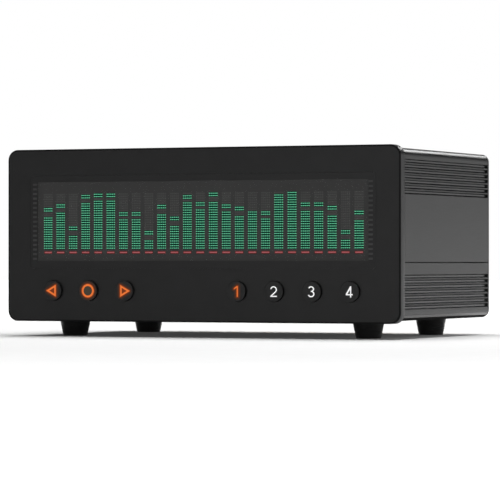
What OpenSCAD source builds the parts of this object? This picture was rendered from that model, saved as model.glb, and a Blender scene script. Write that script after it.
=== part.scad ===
// Audio source selector: an extruded case on four feet, a front panel with a flush display window
// and seven push buttons, and a rear panel with five stereo jack blocks and a power jack.
// Millimetres. X runs to the right seen from the front, Y runs to the back, Z is up.
// The origin is on the table, at the middle of the part's footprint.

/* [Front panel] */
// Width of the front panel
panel_w = 160; // [156:0.5:190]
// Height of the front panel
panel_h = 64.8; // [62:0.2:80]
// Thickness of the front panel
panel_t = 4.4; // [4:0.1:6]
// Radius of the panel's corners
panel_corner_r = 4; // [2:0.5:8]
// Chamfer round the panel's front edge
panel_edge = 0.5; // [0.2:0.1:1]
// How far the panel stands past the case at each side
panel_lip_x = 1.2; // [0.4:0.1:2]
// How far the panel stands past the case at top and bottom
panel_lip_z = 0.95; // [0.4:0.05:2]

/* [Case] */
// Length of the two case halves, front to back
case_len = 90.4; // [80:0.2:140]
// Radius of the case's long corners
case_corner_r = 3; // [1:0.5:4]
// Wall of the case
case_wall = 2.5; // [2.2:0.1:3]
// Height of the seam above the case's underside
seam_h = 21.05; // [19:0.05:24]
// Open shadow line between the outer rims of the halves
seam_gap = 0.35; // [0.2:0.05:0.8]
// Thickness of the tongue on the lower half's rim
tongue_t = 1.2; // [0.8:0.1:1.5]
// Height of the tongue above the rim
tongue_h = 1.6; // [1.2:0.1:2.5]
// Grooves in each group on the sides
groove_count = 7; // [3:1:7]
// Pitch of the grooves
groove_pitch = 1.88; // [1.6:0.02:2]
// Width of a groove at its mouth
groove_w = 1.4; // [0.6:0.1:1.5]
// Width of a groove at its floor
groove_floor_w = 0.8; // [0.2:0.1:1.5]
// Depth of a groove
groove_depth = 0.75; // [0.3:0.05:1]
// Plain wall between a group of grooves and the case's top or underside
groove_inset = 4.1; // [3.5:0.05:5]
// Middle of a screw port from the case's outer faces
port_inset = 5.2; // [5:0.1:6]
// Outside diameter of a screw port
port_d = 7; // [6:0.1:8]
// How far the board rails reach in from the side walls
rail_reach = 3; // [2:0.1:5]
// Thickness of a board rail
rail_t = 1.2; // [0.8:0.1:2]
// Thickness of the rear panel
rear_t = 1.5; // [1:0.1:3]

/* [Display] */
// Panel left at each side of the opening
view_side = 11.6; // [11.5:0.1:30]
// Panel left above the opening
view_drop = 12; // [11.5:0.1:16]
// Panel left below the opening, for the buttons
view_sill = 21.9; // [21:0.1:26]
// Radius of the window's corners
window_corner_r = 1.5; // [0.5:0.1:3]
// Thickness of the smoked window
window_t = 1; // [0.8:0.1:1.5]
// Ledge round the opening that carries the window
window_ledge = 2; // [1:0.1:2.2]
// Thickness of the display glass
glass_t = 8; // [6:0.1:10]
// Least thickness of the pad under the display glass
pad_t = 0.6; // [0.4:0.1:1]
// How far the pad stays inside the edge of the glass
pad_margin = 5; // [4.5:0.1:8]
// Leads of the display
lead_count = 24; // [8:1:40]
// Diameter of a lead
lead_d = 0.6; // [0.4:0.1:0.8]
// First and last lead from the sides of the glass
lead_margin = 4; // [2:0.5:20]
// Row of leads above the lower edge of the glass
lead_inset = 2.5; // [1.5:0.1:3.5]
// Length of a lead behind the board
lead_tail = 1; // [0.5:0.1:2]

/* [Buttons] */
// Middle of the outermost buttons from the panel's sides
button_side = 19.5; // [18:0.1:24]
// Pitch of the buttons in each group
button_pitch = 15; // [14.5:0.1:16]
// Middle of the buttons above the panel's lower edge
button_h = 11.55; // [11:0.05:12]
// Diameter of a button cap
cap_d = 7.5; // [7:0.1:8.5]
// How far a cap stands out of the panel
cap_proud = 1.1; // [0.8:0.1:2]
// Chamfer round a cap's face
cap_edge = 0.25; // [0.1:0.05:0.4]
// Diameter of the flange that keeps a cap behind the panel
cap_flange_d = 9.4; // [9.2:0.1:10]
// Least thickness of that flange
cap_flange_t = 0.8; // [0.5:0.1:1.5]
// Travel of a button
button_travel = 0.5; // [0.2:0.05:0.7]
// Depth of a legend in its cap
legend_depth = 0.4; // [0.2:0.05:0.8]
// Height of a numeral
digit_h = 4.4; // [3:0.1:5]
// Width of a numeral
digit_w = 2.9; // [2:0.1:3.2]
// Stroke of a numeral
digit_stroke = 0.48; // [0.4:0.02:0.8]
// Length of an arrow along its point
arrow_w = 4.3; // [3:0.1:4.6]
// Width of an arrow across its base
arrow_h = 4.9; // [3:0.1:5]
// Shift of an arrow towards its point
arrow_shift = 0.55; // [0.2:0.05:0.6]
// Outside diameter of the ring mark
ring_d = 4.9; // [4:0.1:6]
// Stroke of the arrows and the ring
mark_stroke = 0.7; // [0.5:0.05:1]

/* [Switches] */
// Side of a switch body
switch_w = 6; // [5.6:0.1:6.5]
// Thickness of a switch body
switch_t = 3.5; // [3.2:0.1:4]
// Roof of a switch body, round its plunger
switch_roof = 1; // [0.6:0.1:1.2]
// Base of a switch body, under its dome
switch_base = 0.4; // [0.3:0.05:0.6]
// Diameter of the room inside a switch body
switch_room_d = 5; // [4.9:0.1:5.2]
// Diameter of a switch plunger
plunger_d = 3.5; // [2.5:0.1:3.8]
// What still stands out of a switch when its button is pressed
plunger_left = 0.5; // [0.2:0.05:1]
// Diameter of the lip that keeps a plunger in its switch
plunger_lip_d = 4.4; // [4:0.1:4.6]
// Thickness of that lip
plunger_lip_t = 0.5; // [0.3:0.05:0.6]
// Diameter of a snap dome at its rim
dome_d = 4.6; // [4:0.1:4.8]
// Height left in a snap dome when its button is pressed
dome_left = 0.2; // [0.15:0.05:0.3]
// Thickness of a snap dome
dome_t = 0.12; // [0.08:0.01:0.15]
// Width and height of a button lamp
lamp_w = 1.6; // [1:0.1:2]
// Thickness of a button lamp
lamp_t = 0.8; // [0.4:0.1:1]
// Space between a switch body and its lamp
lamp_gap = 0.6; // [0.3:0.1:0.8]

/* [Boards] */
// Thickness of both circuit boards
board_t = 1.6; // [1:0.1:2]
// Space between the front board and the inside of the case, above and below
front_board_gap = 2; // [1:0.1:2.5]
// Height of the main board's underside above the case floor
board_lift = 8; // [7.8:0.1:9]
// Space between the front board and the main board's front edge
board_setback = 6.6; // [4:0.1:8]
// Width of a relay
relay_w = 7.4; // [5:0.1:12]
// Length of a relay
relay_len = 15; // [10:0.5:20]
// Height of a relay
relay_h = 10; // [6:0.5:15]
// Space between a relay and its jack block
relay_gap = 4; // [1:0.5:8]
// Capacitors in the row
capacitor_count = 4; // [1:1:4]
// Diameter of a capacitor
capacitor_d = 8; // [5:0.5:10]
// Height of a capacitor
capacitor_h = 12; // [8:0.5:20]
// Pitch of the capacitors
capacitor_pitch = 11; // [10.5:0.5:14]
// Middle of the capacitors and the chip behind the main board's front edge
capacitor_setback = 14; // [14:0.5:18]
// Side of the controller chip
chip_w = 12; // [7:0.5:12.5]
// Thickness of the controller chip
chip_t = 1.4; // [1:0.1:2]
// Middle of the controller chip right of the board's middle
chip_x = 22; // [0:0.5:50]
// Width of the ribbon cable
ribbon_w = 20; // [10:1:40]
// Thickness of the ribbon cable
ribbon_t = 0.3; // [0.2:0.05:0.6]
// Inside radius of the ribbon cable's bend
ribbon_r = 4; // [3:0.5:6]
// Straight run of the ribbon cable out of its front socket
ribbon_run = 3; // [1:0.5:5]
// Thickness of a ribbon socket
socket_t = 4; // [3:0.1:5]
// Height of a ribbon socket off its board
socket_rise = 5; // [3:0.1:6]
// How far a ribbon socket is wider than the cable at each side
socket_side = 2; // [1:0.1:4]

/* [Jacks] */
// Input jack blocks
input_count = 4; // [1:1:4]
// Middle of the first input block from the inside of the case
jack_side = 26.3; // [16:0.1:30]
// Middle of the power jack from the inside of the case
power_side = 13; // [11:0.1:16]
// Step from the last input block to the output block, as a share of the inputs' pitch
output_share = 1.2; // [1:0.05:1.4]
// Step from the output block to the power jack, as a share of the inputs' pitch
power_share = 0.95; // [0.8:0.05:1.2]
// Width of a jack block
jack_w = 11; // [10.5:0.1:14]
// Depth of a jack block behind the rear panel
jack_depth = 12; // [10:0.5:16]
// Height of the lower port above the main board
port_low = 7.5; // [6.5:0.1:8]
// Distance between the two ports of a block
port_pitch = 16; // [15.6:0.1:17]
// Height of a jack block above its upper port
jack_crown = 7.5; // [6:0.1:12]
// Outside diameter of a jack sleeve
sleeve_d = 8.3; // [8:0.05:8.6]
// Wall of a jack sleeve
sleeve_wall = 0.75; // [0.5:0.05:0.9]
// How far a sleeve's root in its collar is thicker all round
sleeve_step = 0.2; // [0.1:0.05:0.3]
// Length of a sleeve past its collar
sleeve_len = 8.7; // [7:0.1:10]
// Depth of a sleeve's seat in the block
sleeve_seat = 5; // [3:0.1:8]
// Diameter of the collar round a sleeve
collar_d = 10; // [9.6:0.1:10.2]
// How far a collar stands out of the rear panel
collar_proud = 1; // [0.5:0.1:2]
// Setback of an insulating ring in its sleeve
ring_setback = 0.4; // [0.1:0.1:1]
// Setback of a centre contact in its sleeve
contact_setback = 0.8; // [0.2:0.1:1]
// Hole for the plug's pin
socket_d = 3.2; // [3:0.05:3.4]
// Depth of the hole for the plug's pin
socket_depth = 7.5; // [5:0.1:7.6]
// Wall of a centre contact
contact_wall = 0.4; // [0.3:0.05:0.5]
// Width of the power jack
power_w = 9; // [8.5:0.1:12]
// Height of the power jack
power_h = 11; // [9:0.1:14]
// Depth of the power jack behind the rear panel
power_depth = 14; // [13:0.5:18]
// Diameter of the power jack's collar
power_collar_d = 8; // [7.5:0.1:8.4]
// How far that collar stands out of the rear panel
power_collar_proud = 0.5; // [0.2:0.1:1]
// Diameter of the power jack's hole
power_bore_d = 5.7; // [5:0.1:6]
// Depth of the power jack's hole
power_bore_depth = 9.5; // [8:0.1:10]
// Diameter of the power jack's centre pin
power_pin_d = 2.1; // [1.6:0.05:2.5]
// Length of the pin held in the block
power_pin_root = 3; // [2:0.1:4]
// Setback of the pin in its hole
power_pin_setback = 0.5; // [0.2:0.1:1]

/* [Feet] */
// Height of a foot
foot_h = 6.65; // [5:0.05:12]
// Diameter of a foot at the case
foot_top_d = 12; // [10:0.1:16]
// Diameter of a foot on the table
foot_bottom_d = 9.4; // [9:0.1:14]
// Chamfer round a foot's underside
foot_edge = 0.4; // [0.2:0.1:0.8]
// Thickness of a foot over its screw's head
foot_floor = 3; // [2:0.1:3.2]
// Middle of a foot from the nearer side of the case
foot_side = 18.4; // [10:0.1:40]
// Middle of a foot from the nearer end of the case
foot_inset = 13.3; // [9:0.1:30]

/* [Screws] */
// Diameter of a tie screw
tie_d = 3; // [2.5:0.1:3.5]
// Diameter of a tie screw's head
tie_head_d = 5.6; // [5:0.1:7]
// Height of a tie screw's head
tie_head_h = 2; // [1.5:0.1:3]
// Length of a tie screw in the front panel
tie_engage = 3; // [2:0.1:3.2]
// Diameter of a jack screw
jack_screw_d = 2.8; // [2:0.1:3]
// Length of a jack screw under its head
jack_screw_len = 8; // [6:0.5:10]
// Diameter of a jack screw's head
jack_screw_head_d = 4.8; // [4.5:0.1:5.2]
// Height of a jack screw's head
jack_screw_head_h = 1.6; // [1.2:0.1:2]
// Diameter of a board screw
board_screw_d = 2.4; // [2:0.1:2.6]
// Diameter of a board screw's head
board_screw_head_d = 4.4; // [4:0.1:5]
// Height of a board screw's head
board_screw_head_h = 1.6; // [1:0.1:2]
// Length of a board screw in its spacer
board_screw_grip = 3.5; // [2:0.1:4]
// Diameter of a spacer
spacer_d = 4.5; // [4.3:0.1:5]
// Diameter of a spacer's spigot in the front panel
spacer_spigot_d = 3.8; // [3:0.1:4]
// Length of that spigot
spacer_spigot_len = 1.5; // [1:0.1:2]
// Middle of a spacer from the front board's edge
spacer_edge = 3; // [2.6:0.1:3.2]
// Diameter of a foot screw
foot_screw_d = 2.9; // [2.5:0.1:3.2]
// Diameter of a foot screw's head
foot_screw_head_d = 5.4; // [5:0.1:6]
// Height of a foot screw's head
foot_screw_head_h = 1.8; // [1.2:0.1:2]
// Width of the cross recess in a screw's head
recess_w = 0.7; // [0.4:0.1:1]
// Length of the cross recess, as a share of the head
recess_share = 0.6; // [0.4:0.05:0.7]

/* [Clearances] */
// Play between pieces that slide or are put together with some room
slip = 0.15; // [0.1:0.05:0.2]
// Play between pieces that sit snugly in each other
snug = 0.05; // [0.03:0.01:0.08]
// Air left beside a piece that must not touch
air = 0.2; // [0.1:0.05:0.3]

/* [Hidden] */
$fn = 64;

// Heights
case_w = panel_w - 2 * panel_lip_x;
case_h = panel_h - 2 * panel_lip_z;
case_z = foot_h;
case_mid_z = case_z + case_h / 2;
panel_z = case_z - panel_lip_z;
panel_mid_z = panel_z + panel_h / 2;
inner_x = case_w / 2 - case_wall;
floor_z = case_z + case_wall;
seam_z = case_z + seam_h;
view_w = panel_w - 2 * view_side;
view_h = panel_h - view_drop - view_sill;
view_z = panel_z + view_sill + view_h / 2;
button_z = panel_z + button_h;
port_x = case_w / 2 - port_inset;
port_low_z = case_z + port_inset;
port_high_z = case_z + case_h - port_inset;
main_z = floor_z + board_lift;
main_top = main_z + board_t;
jack_low_z = main_top + port_low;
jack_high_z = jack_low_z + port_pitch;
jack_screw_z = (jack_low_z + jack_high_z) / 2;
jack_h = port_low + port_pitch + jack_crown;

// Depths, from the caps' faces to the mouths of the jack sleeves
total_depth = cap_proud + panel_t + case_len + rear_t + collar_proud + sleeve_len;
front_y = cap_proud - total_depth / 2;
cap_face_y = front_y - cap_proud;
panel_back_y = front_y + panel_t;
case_back_y = panel_back_y + case_len;
rear_y = case_back_y + rear_t;
collar_y = rear_y + collar_proud;
mouth_y = collar_y + sleeve_len;

// The front board sits behind the deeper of two stacks: window and display, or panel and switch
plunger_reach = button_travel + plunger_left;
flange_y = panel_back_y + air / 2;
glass_y = front_y + window_t + air;
glass_back_y = glass_y + glass_t;
display_stack_y = glass_back_y + pad_t;
switch_stack_y = flange_y + cap_flange_t + plunger_reach + switch_t;
front_board_y = max(display_stack_y, switch_stack_y);
front_board_back_y = front_board_y + board_t;
switch_y = front_board_y - switch_t;
cap_back_y = switch_y - plunger_reach;
main_front_y = front_board_back_y + board_setback;

// Display and front board
window_w = view_w + 2 * window_ledge;
window_h = view_h + 2 * window_ledge;
glass_w = view_w - 4 * slip;
glass_h = view_h - 4 * slip;
front_board_w = 2 * (port_x - port_d / 2 - 4 * slip);
front_board_h = case_h - 2 * case_wall - 2 * front_board_gap;
button_last_x = panel_w / 2 - button_side;
spacer_x = button_last_x - button_pitch / 2;
spacer_dz = front_board_h / 2 - spacer_edge;
spacer_len = front_board_y - panel_back_y;
lamp_drop = switch_w / 2 + lamp_gap + lamp_w / 2;

// Switch insides
dome_h = button_travel + dome_left;
dome_base_y = front_board_y - switch_base;
dome_ball_r = (pow(dome_d / 2, 2) + pow(dome_h, 2)) / (2 * dome_h);
plunger_back_y = dome_base_y - dome_h - snug;

// Main board
main_w = 2 * (inner_x - 2 * slip);
main_len = case_back_y - 2 * slip - main_front_y;
capacitor_y = main_front_y + capacitor_setback;
ribbon_z = panel_mid_z;
ribbon_y = front_board_back_y + socket_rise + ribbon_run + ribbon_r + ribbon_t / 2;

// Jacks
sleeve_root_y = case_back_y - sleeve_seat;
ring_outer_d = sleeve_d - 2 * sleeve_wall - 2 * snug;
contact_d = socket_d + 2 * contact_wall;
jack_first_x = inner_x - jack_side;
power_x = power_side - inner_x;
jack_pitch = (jack_first_x - power_x) / (input_count - 1 + output_share + power_share);
output_x = power_x + power_share * jack_pitch;
jack_xs = concat([for (i = [0 : input_count - 1]) jack_first_x - i * jack_pitch], [output_x]);

// Buttons, left to right: the first group is marked, the second is numbered
marks = ["left_arrow", "ring", "right_arrow", "1", "2", "3", "4"];
left_count = 3;
button_xs = [for (i = [0 : len(marks) - 1])
    i < left_count
        ? i * button_pitch - button_last_x
        : button_last_x - (len(marks) - 1 - i) * button_pitch];

// Feet
foot_names = ["front_left", "front_right", "rear_left", "rear_right"];
foot_x = case_w / 2 - foot_side;
foot_xs = [-foot_x, foot_x, -foot_x, foot_x];
foot_front_y = panel_back_y + foot_inset;
foot_rear_y = case_back_y - foot_inset;
foot_ys = [foot_front_y, foot_front_y, foot_rear_y, foot_rear_y];

// Helpers

// Rectangle with round corners, centred
module rounded(w, h, r) {
    square([w - 2 * r, h], center = true);
    square([w, h - 2 * r], center = true);
    for (x = [-1, 1], y = [-1, 1])
        translate([x * (w / 2 - r), y * (h / 2 - r)])
            circle(r);
}

// Flat shape in X and Z, carried from y over a length towards the back
module along_y(y, length) {
    translate([0, y + length, 0])
        rotate([90, 0, 0])
            linear_extrude(length)
                children();
}

// Round bar along Y
module bar_y(x, y, z, length, d) {
    translate([x, y, z])
        rotate([-90, 0, 0])
            cylinder(h = length, d = d);
}

// Block given by its middle in X and Z and its front face
module block_y(x, y, z, size) {
    translate([x - size[0] / 2, y, z - size[2] / 2])
        cube(size);
}

// Plate with round corners and a chamfered front edge, its front face down on the XY plane
module chamfered_plate(w, h, t, r, c) {
    translate([0, 0, c])
        linear_extrude(t - c)
            rounded(w, h, r);
    rotate([90, 0, 0])
        linear_extrude(h - 2 * r, center = true)
            polygon([[c - w / 2, 0], [w / 2 - c, 0], [w / 2, c], [-w / 2, c]]);
    rotate([90, 0, 90])
        linear_extrude(w - 2 * r, center = true)
            polygon([[c - h / 2, 0], [h / 2 - c, 0], [h / 2, c], [-h / 2, c]]);
    for (x = [-1, 1], y = [-1, 1])
        translate([x * (w / 2 - r), y * (h / 2 - r), 0])
            cylinder(h = c, r1 = r - c, r2 = r);
}

// Screw with its head's seat on the XY plane, its shank down and a cross recess in the head
module screw(d, length, head_d, head_h) {
    translate([0, 0, -length])
        cylinder(h = length + head_h / 2, d = d);
    difference() {
        cylinder(h = head_h, d = head_d);
        for (turn = [0, 90])
            rotate(turn)
                translate([0, 0, head_h])
                    cube([head_d * recess_share, recess_w, head_h], center = true);
    }
}

// Straight stroke between two points
module stroke_line(p, q, s) {
    run = q - p;
    translate(p)
        rotate(atan2(run[1], run[0]))
            translate([0, -s / 2])
                square([norm(run), s]);
}

// Round stroke: part of a ring of outer radius r, from one angle to another
module stroke_arc(r, s, from, to) {
    steps = 6;
    intersection() {
        difference() {
            circle(r);
            circle(r - s);
        }
        polygon(concat([[0, 0]], [for (i = [0 : steps])
            let (a = from + (to - from) * i / steps) 2 * r * [cos(a), sin(a)]]));
    }
}

// Marks on the caps

// Outline of an arrow that points left: a triangle less the same triangle scaled about its incentre
module arrow_mark() {
    outer = [[-arrow_w / 2, 0], [arrow_w / 2, -arrow_h / 2], [arrow_w / 2, arrow_h / 2]];
    side = norm(outer[1] - outer[0]);
    inradius = arrow_w * arrow_h / (arrow_h + 2 * side);
    incentre = [arrow_w / 2 - inradius, 0];
    shrink = (inradius - mark_stroke) / inradius;
    translate([-arrow_shift, 0])
        difference() {
            polygon(outer);
            polygon([for (p = outer) incentre + shrink * (p - incentre)]);
        }
}

module ring_mark() {
    difference() {
        circle(d = ring_d);
        circle(d = ring_d - 2 * mark_stroke);
    }
}

module digit_1() {
    stem_x = digit_w / 8;
    flag_x = -3 * digit_w / 8;
    flag_drop = digit_h / 4;
    translate([stem_x - digit_stroke / 2, -digit_h / 2])
        square([digit_stroke, digit_h]);
    polygon([
        [stem_x - digit_stroke / 2, digit_h / 2],
        [flag_x, digit_h / 2 - flag_drop + digit_stroke / 2],
        [flag_x, digit_h / 2 - flag_drop - digit_stroke / 2],
        [stem_x, digit_h / 2 - digit_stroke]
    ]);
}

module digit_2() {
    bowl_r = digit_w / 2;
    bowl_start = 168;
    bowl_end = -38;
    overlap = 6;
    bowl = [0, digit_h / 2 - bowl_r];
    foot = [digit_stroke / 2 - bowl_r, digit_stroke / 2 - digit_h / 2];
    joint = bowl + (bowl_r - digit_stroke / 2) * [cos(bowl_end), sin(bowl_end)];
    translate(bowl)
        stroke_arc(bowl_r, digit_stroke, bowl_end - overlap, bowl_start);
    stroke_line(joint, foot, digit_stroke);
    translate([-bowl_r, -digit_h / 2])
        square([digit_w, digit_stroke]);
}

module digit_3() {
    hook = 159;
    overlap = 5;
    upper_share = 0.47;
    both = (digit_h + digit_stroke) / 2;
    upper_r = upper_share * both;
    lower_r = both - upper_r;
    translate([0, digit_h / 2 - upper_r])
        stroke_arc(upper_r, digit_stroke, -90 - overlap, hook);
    translate([0, lower_r - digit_h / 2])
        stroke_arc(lower_r, digit_stroke, -hook, 90 + overlap);
}

module digit_4() {
    stem_x = digit_w / 5;
    cross_z = -digit_h / 4;
    translate([stem_x - digit_stroke / 2, -digit_h / 2])
        square([digit_stroke, digit_h]);
    translate([-digit_w / 2, cross_z - digit_stroke / 2])
        square([digit_w, digit_stroke]);
    polygon([
        [-digit_w / 2, cross_z + digit_stroke / 2],
        [-digit_w / 2, cross_z - digit_stroke / 4],
        [-digit_w / 2 + digit_stroke, cross_z],
        [stem_x, digit_h / 2 - 2 * digit_stroke],
        [stem_x, digit_h / 2],
        [stem_x - digit_stroke / 2, digit_h / 2]
    ]);
}

module mark(i) {
    if (marks[i] == "left_arrow") arrow_mark();
    if (marks[i] == "ring") ring_mark();
    if (marks[i] == "right_arrow") rotate(180) arrow_mark();
    if (marks[i] == "1") digit_1();
    if (marks[i] == "2") digit_2();
    if (marks[i] == "3") digit_3();
    if (marks[i] == "4") digit_4();
}

// Front

module at_ports() {
    for (x = [-port_x, port_x], z = [port_low_z, port_high_z])
        translate([x, 0, z])
            children();
}

module at_spacers() {
    for (x = [-spacer_x, spacer_x], dz = [-spacer_dz, spacer_dz])
        translate([x, 0, panel_mid_z + dz])
            children();
}

module at_buttons() {
    for (x = button_xs)
        translate([x, 0, button_z])
            children();
}

module front_panel() {
    color("#2a2a2b")
        difference() {
            translate([0, front_y, panel_mid_z])
                rotate([-90, 0, 0])
                    chamfered_plate(panel_w, panel_h, panel_t, panel_corner_r, panel_edge);
            block_y(0, front_y - panel_t, view_z, [view_w, 3 * panel_t, view_h]);
            along_y(front_y - panel_t, panel_t + window_t)
                translate([0, view_z])
                    rounded(window_w + 2 * snug, window_h + 2 * snug, window_corner_r);
            at_buttons()
                bar_y(0, front_y - panel_t, 0, 3 * panel_t, cap_d + 2 * slip);
            at_ports()
                bar_y(0, panel_back_y - tie_engage - air, 0, panel_t, tie_d + 2 * snug);
            at_spacers()
                bar_y(0, panel_back_y - spacer_spigot_len - air, 0, panel_t, spacer_spigot_d + 2 * snug);
        }
}

module display_window() {
    color("#242426", 0.8)
        along_y(front_y, window_t)
            translate([0, view_z])
                rounded(window_w, window_h, window_corner_r - snug);
}

module display_glass() {
    color("#303436")
        block_y(0, glass_y, view_z, [glass_w, glass_t, glass_h]);
}

module at_leads() {
    lead_span = glass_w - 2 * lead_margin;
    for (i = [0 : lead_count - 1])
        translate([lead_span * (i / (lead_count - 1) - 0.5), 0, view_z - glass_h / 2 + lead_inset])
            children();
}

module display_leads() {
    color("silver")
        at_leads()
            bar_y(0, glass_back_y, 0, front_board_back_y + lead_tail - glass_back_y, lead_d);
}

module display_pad() {
    color("#1c1c1c")
        block_y(0, glass_back_y, view_z,
            [glass_w - 2 * pad_margin, front_board_y - glass_back_y, glass_h - 2 * pad_margin]);
}

module front_board() {
    color("#1f3d2a")
        difference() {
            block_y(0, front_board_y, panel_mid_z, [front_board_w, board_t, front_board_h]);
            at_leads()
                bar_y(0, front_board_y - board_t, 0, 3 * board_t, lead_d + 2 * slip);
            at_spacers()
                bar_y(0, front_board_y - board_t, 0, 3 * board_t, board_screw_d + 2 * slip);
        }
}

module board_spacers() {
    color("silver")
        at_spacers()
            difference() {
                union() {
                    bar_y(0, panel_back_y, 0, spacer_len, spacer_d);
                    bar_y(0, panel_back_y - spacer_spigot_len, 0, spacer_spigot_len + spacer_len / 2,
                        spacer_spigot_d);
                }
                bar_y(0, front_board_y - board_screw_grip - air, 0, spacer_len,
                    board_screw_d + 2 * snug);
            }
}

module board_screws() {
    color("#8a8d90")
        at_spacers()
            translate([0, front_board_back_y, 0])
                rotate([-90, 0, 0])
                    screw(board_screw_d, board_t + board_screw_grip, board_screw_head_d,
                        board_screw_head_h);
}

module switch_bodies() {
    color("#18181a")
        at_buttons()
            difference() {
                block_y(0, switch_y, 0, [switch_w, switch_t, switch_w]);
                bar_y(0, switch_y - switch_t, 0, 2 * switch_t - switch_base, plunger_d + 2 * snug);
                bar_y(0, switch_y + switch_roof, 0, switch_t - switch_roof - switch_base,
                    switch_room_d);
            }
}

// Thin part of a hollow ball, its rim on the switch's base
module switch_domes() {
    color("silver")
        at_buttons()
            translate([0, dome_base_y, 0])
                rotate([90, 0, 0])
                    rotate_extrude()
                        intersection() {
                            translate([0, dome_h - dome_ball_r])
                                difference() {
                                    circle(dome_ball_r);
                                    circle(dome_ball_r - dome_t);
                                }
                            square([dome_d, dome_d]);
                        }
}

module button_lamps() {
    color("#e8d8b0")
        at_buttons()
            block_y(0, front_board_y - lamp_t, -lamp_drop, [lamp_w, lamp_t, lamp_w]);
}

// Buttons

module cap(i) {
    color("#262627")
        translate([button_xs[i], 0, button_z])
            difference() {
                union() {
                    bar_y(0, cap_face_y + cap_edge, 0, cap_back_y - cap_face_y - cap_edge, cap_d);
                    translate([0, cap_face_y, 0])
                        rotate([-90, 0, 0])
                            cylinder(h = cap_edge, d1 = cap_d - 2 * cap_edge, d2 = cap_d);
                    bar_y(0, flange_y, 0, cap_back_y - flange_y, cap_flange_d);
                }
                along_y(cap_face_y - legend_depth, 2 * legend_depth)
                    mark(i);
            }
}

module legend(i) {
    color(i <= left_count ? "#ee7a34" : "white")
        translate([button_xs[i], 0, button_z])
            along_y(cap_face_y, legend_depth)
                mark(i);
}

module plunger(i) {
    color("#dcdcd6")
        translate([button_xs[i], 0, button_z]) {
            bar_y(0, cap_back_y, 0, plunger_back_y - cap_back_y, plunger_d);
            bar_y(0, switch_y + switch_roof + snug, 0, plunger_lip_t, plunger_lip_d);
        }
}

// Case

module case_shell() {
    translate([0, case_mid_z])
        difference() {
            rounded(case_w, case_h, case_corner_r);
            square([2 * inner_x, case_h - 2 * case_wall], center = true);
        }
}

// Section of a groove about the middle of its mouth, the same to both sides so that it fits either wall
module groove() {
    polygon([
        [-groove_depth, -groove_floor_w / 2],
        [0, -groove_w / 2],
        [groove_depth, -groove_floor_w / 2],
        [groove_depth, groove_floor_w / 2],
        [0, groove_w / 2],
        [-groove_depth, groove_floor_w / 2]
    ]);
}

// Grooves of both groups on both sides
module side_grooves() {
    first_dz = case_h / 2 - groove_inset - groove_w / 2;
    for (side = [-1, 1], group = [-1, 1], i = [0 : groove_count - 1])
        translate([side * case_w / 2, case_mid_z + group * (first_dz - i * groove_pitch)])
            groove();
}

module ports(z) {
    for (x = [-port_x, port_x])
        translate([x, z])
            circle(d = port_d);
}

module port_holes(z) {
    for (x = [-port_x, port_x])
        translate([x, z])
            circle(d = tie_d + 2 * slip);
}

// Strip along the inside of both side walls, from one height to another
module wall_strips(reach_in, reach_out, low, high) {
    for (side = [-1, 1])
        translate([side * (inner_x + (reach_out - reach_in) / 2), (low + high) / 2])
            square([reach_in + reach_out, high - low], center = true);
}

module upper_case() {
    rim = seam_z + seam_gap;
    color("#4a4a4c")
        along_y(panel_back_y, case_len)
            difference() {
                union() {
                    intersection() {
                        case_shell();
                        translate([-case_w, rim])
                            square([2 * case_w, case_h]);
                    }
                    ports(port_high_z);
                }
                wall_strips(case_wall, tongue_t + snug, seam_z - tongue_h, seam_z + tongue_h);
                side_grooves();
                port_holes(port_high_z);
            }
}

module lower_case() {
    rail_top_z = main_top + air;
    color("#4a4a4c")
        difference() {
            along_y(panel_back_y, case_len)
                difference() {
                    union() {
                        intersection() {
                            case_shell();
                            translate([-case_w, seam_z - case_h])
                                square([2 * case_w, case_h]);
                        }
                        wall_strips(0, tongue_t, seam_z - tongue_h, seam_z + tongue_h);
                        wall_strips(rail_reach, case_wall / 2, main_z - rail_t, main_z);
                        wall_strips(rail_reach, case_wall / 2, rail_top_z, rail_top_z + rail_t);
                        ports(port_low_z);
                    }
                    side_grooves();
                    port_holes(port_low_z);
                }
            for (i = [0 : len(foot_names) - 1])
                translate([foot_xs[i], foot_ys[i], case_z - case_wall])
                    cylinder(h = 3 * case_wall, d = foot_screw_d + 2 * snug);
        }
}

module rear_panel() {
    color("#161617")
        difference() {
            along_y(case_back_y, rear_t)
                translate([0, case_mid_z])
                    rounded(case_w, case_h, case_corner_r);
            at_ports()
                bar_y(0, case_back_y - rear_t, 0, 3 * rear_t, tie_d + 2 * slip);
            for (x = jack_xs) {
                for (z = [jack_low_z, jack_high_z])
                    bar_y(x, case_back_y - rear_t, z, 3 * rear_t, collar_d + 2 * slip);
                bar_y(x, case_back_y - rear_t, jack_screw_z, 3 * rear_t, jack_screw_d + 2 * slip);
            }
            bar_y(power_x, case_back_y - rear_t, jack_low_z, 3 * rear_t, power_collar_d + 2 * slip);
        }
}

module tie_screws() {
    color("#2c2c2e")
        at_ports()
            translate([0, rear_y, 0])
                rotate([-90, 0, 0])
                    screw(tie_d, rear_t + case_len + tie_engage, tie_head_d, tie_head_h);
}

// Feet

// Tapered foot with a recess from below for its screw
module foot(i) {
    color("#101011")
        translate([foot_xs[i], foot_ys[i], 0])
            difference() {
                union() {
                    translate([0, 0, foot_edge])
                        cylinder(h = foot_h - foot_edge, d1 = foot_bottom_d, d2 = foot_top_d);
                    cylinder(h = foot_edge, d1 = foot_bottom_d - 2 * foot_edge, d2 = foot_bottom_d);
                }
                translate([0, 0, -foot_h])
                    cylinder(h = 2 * foot_h - foot_floor, d = foot_screw_head_d + 4 * slip);
                cylinder(h = 2 * foot_h, d = foot_screw_d + 2 * slip);
            }
}

module foot_screws() {
    color("#8a8d90")
        for (i = [0 : len(foot_names) - 1])
            translate([foot_xs[i], foot_ys[i], foot_h - foot_floor])
                rotate([180, 0, 0])
                    screw(foot_screw_d, foot_floor + case_wall, foot_screw_head_d, foot_screw_head_h);
}

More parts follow.
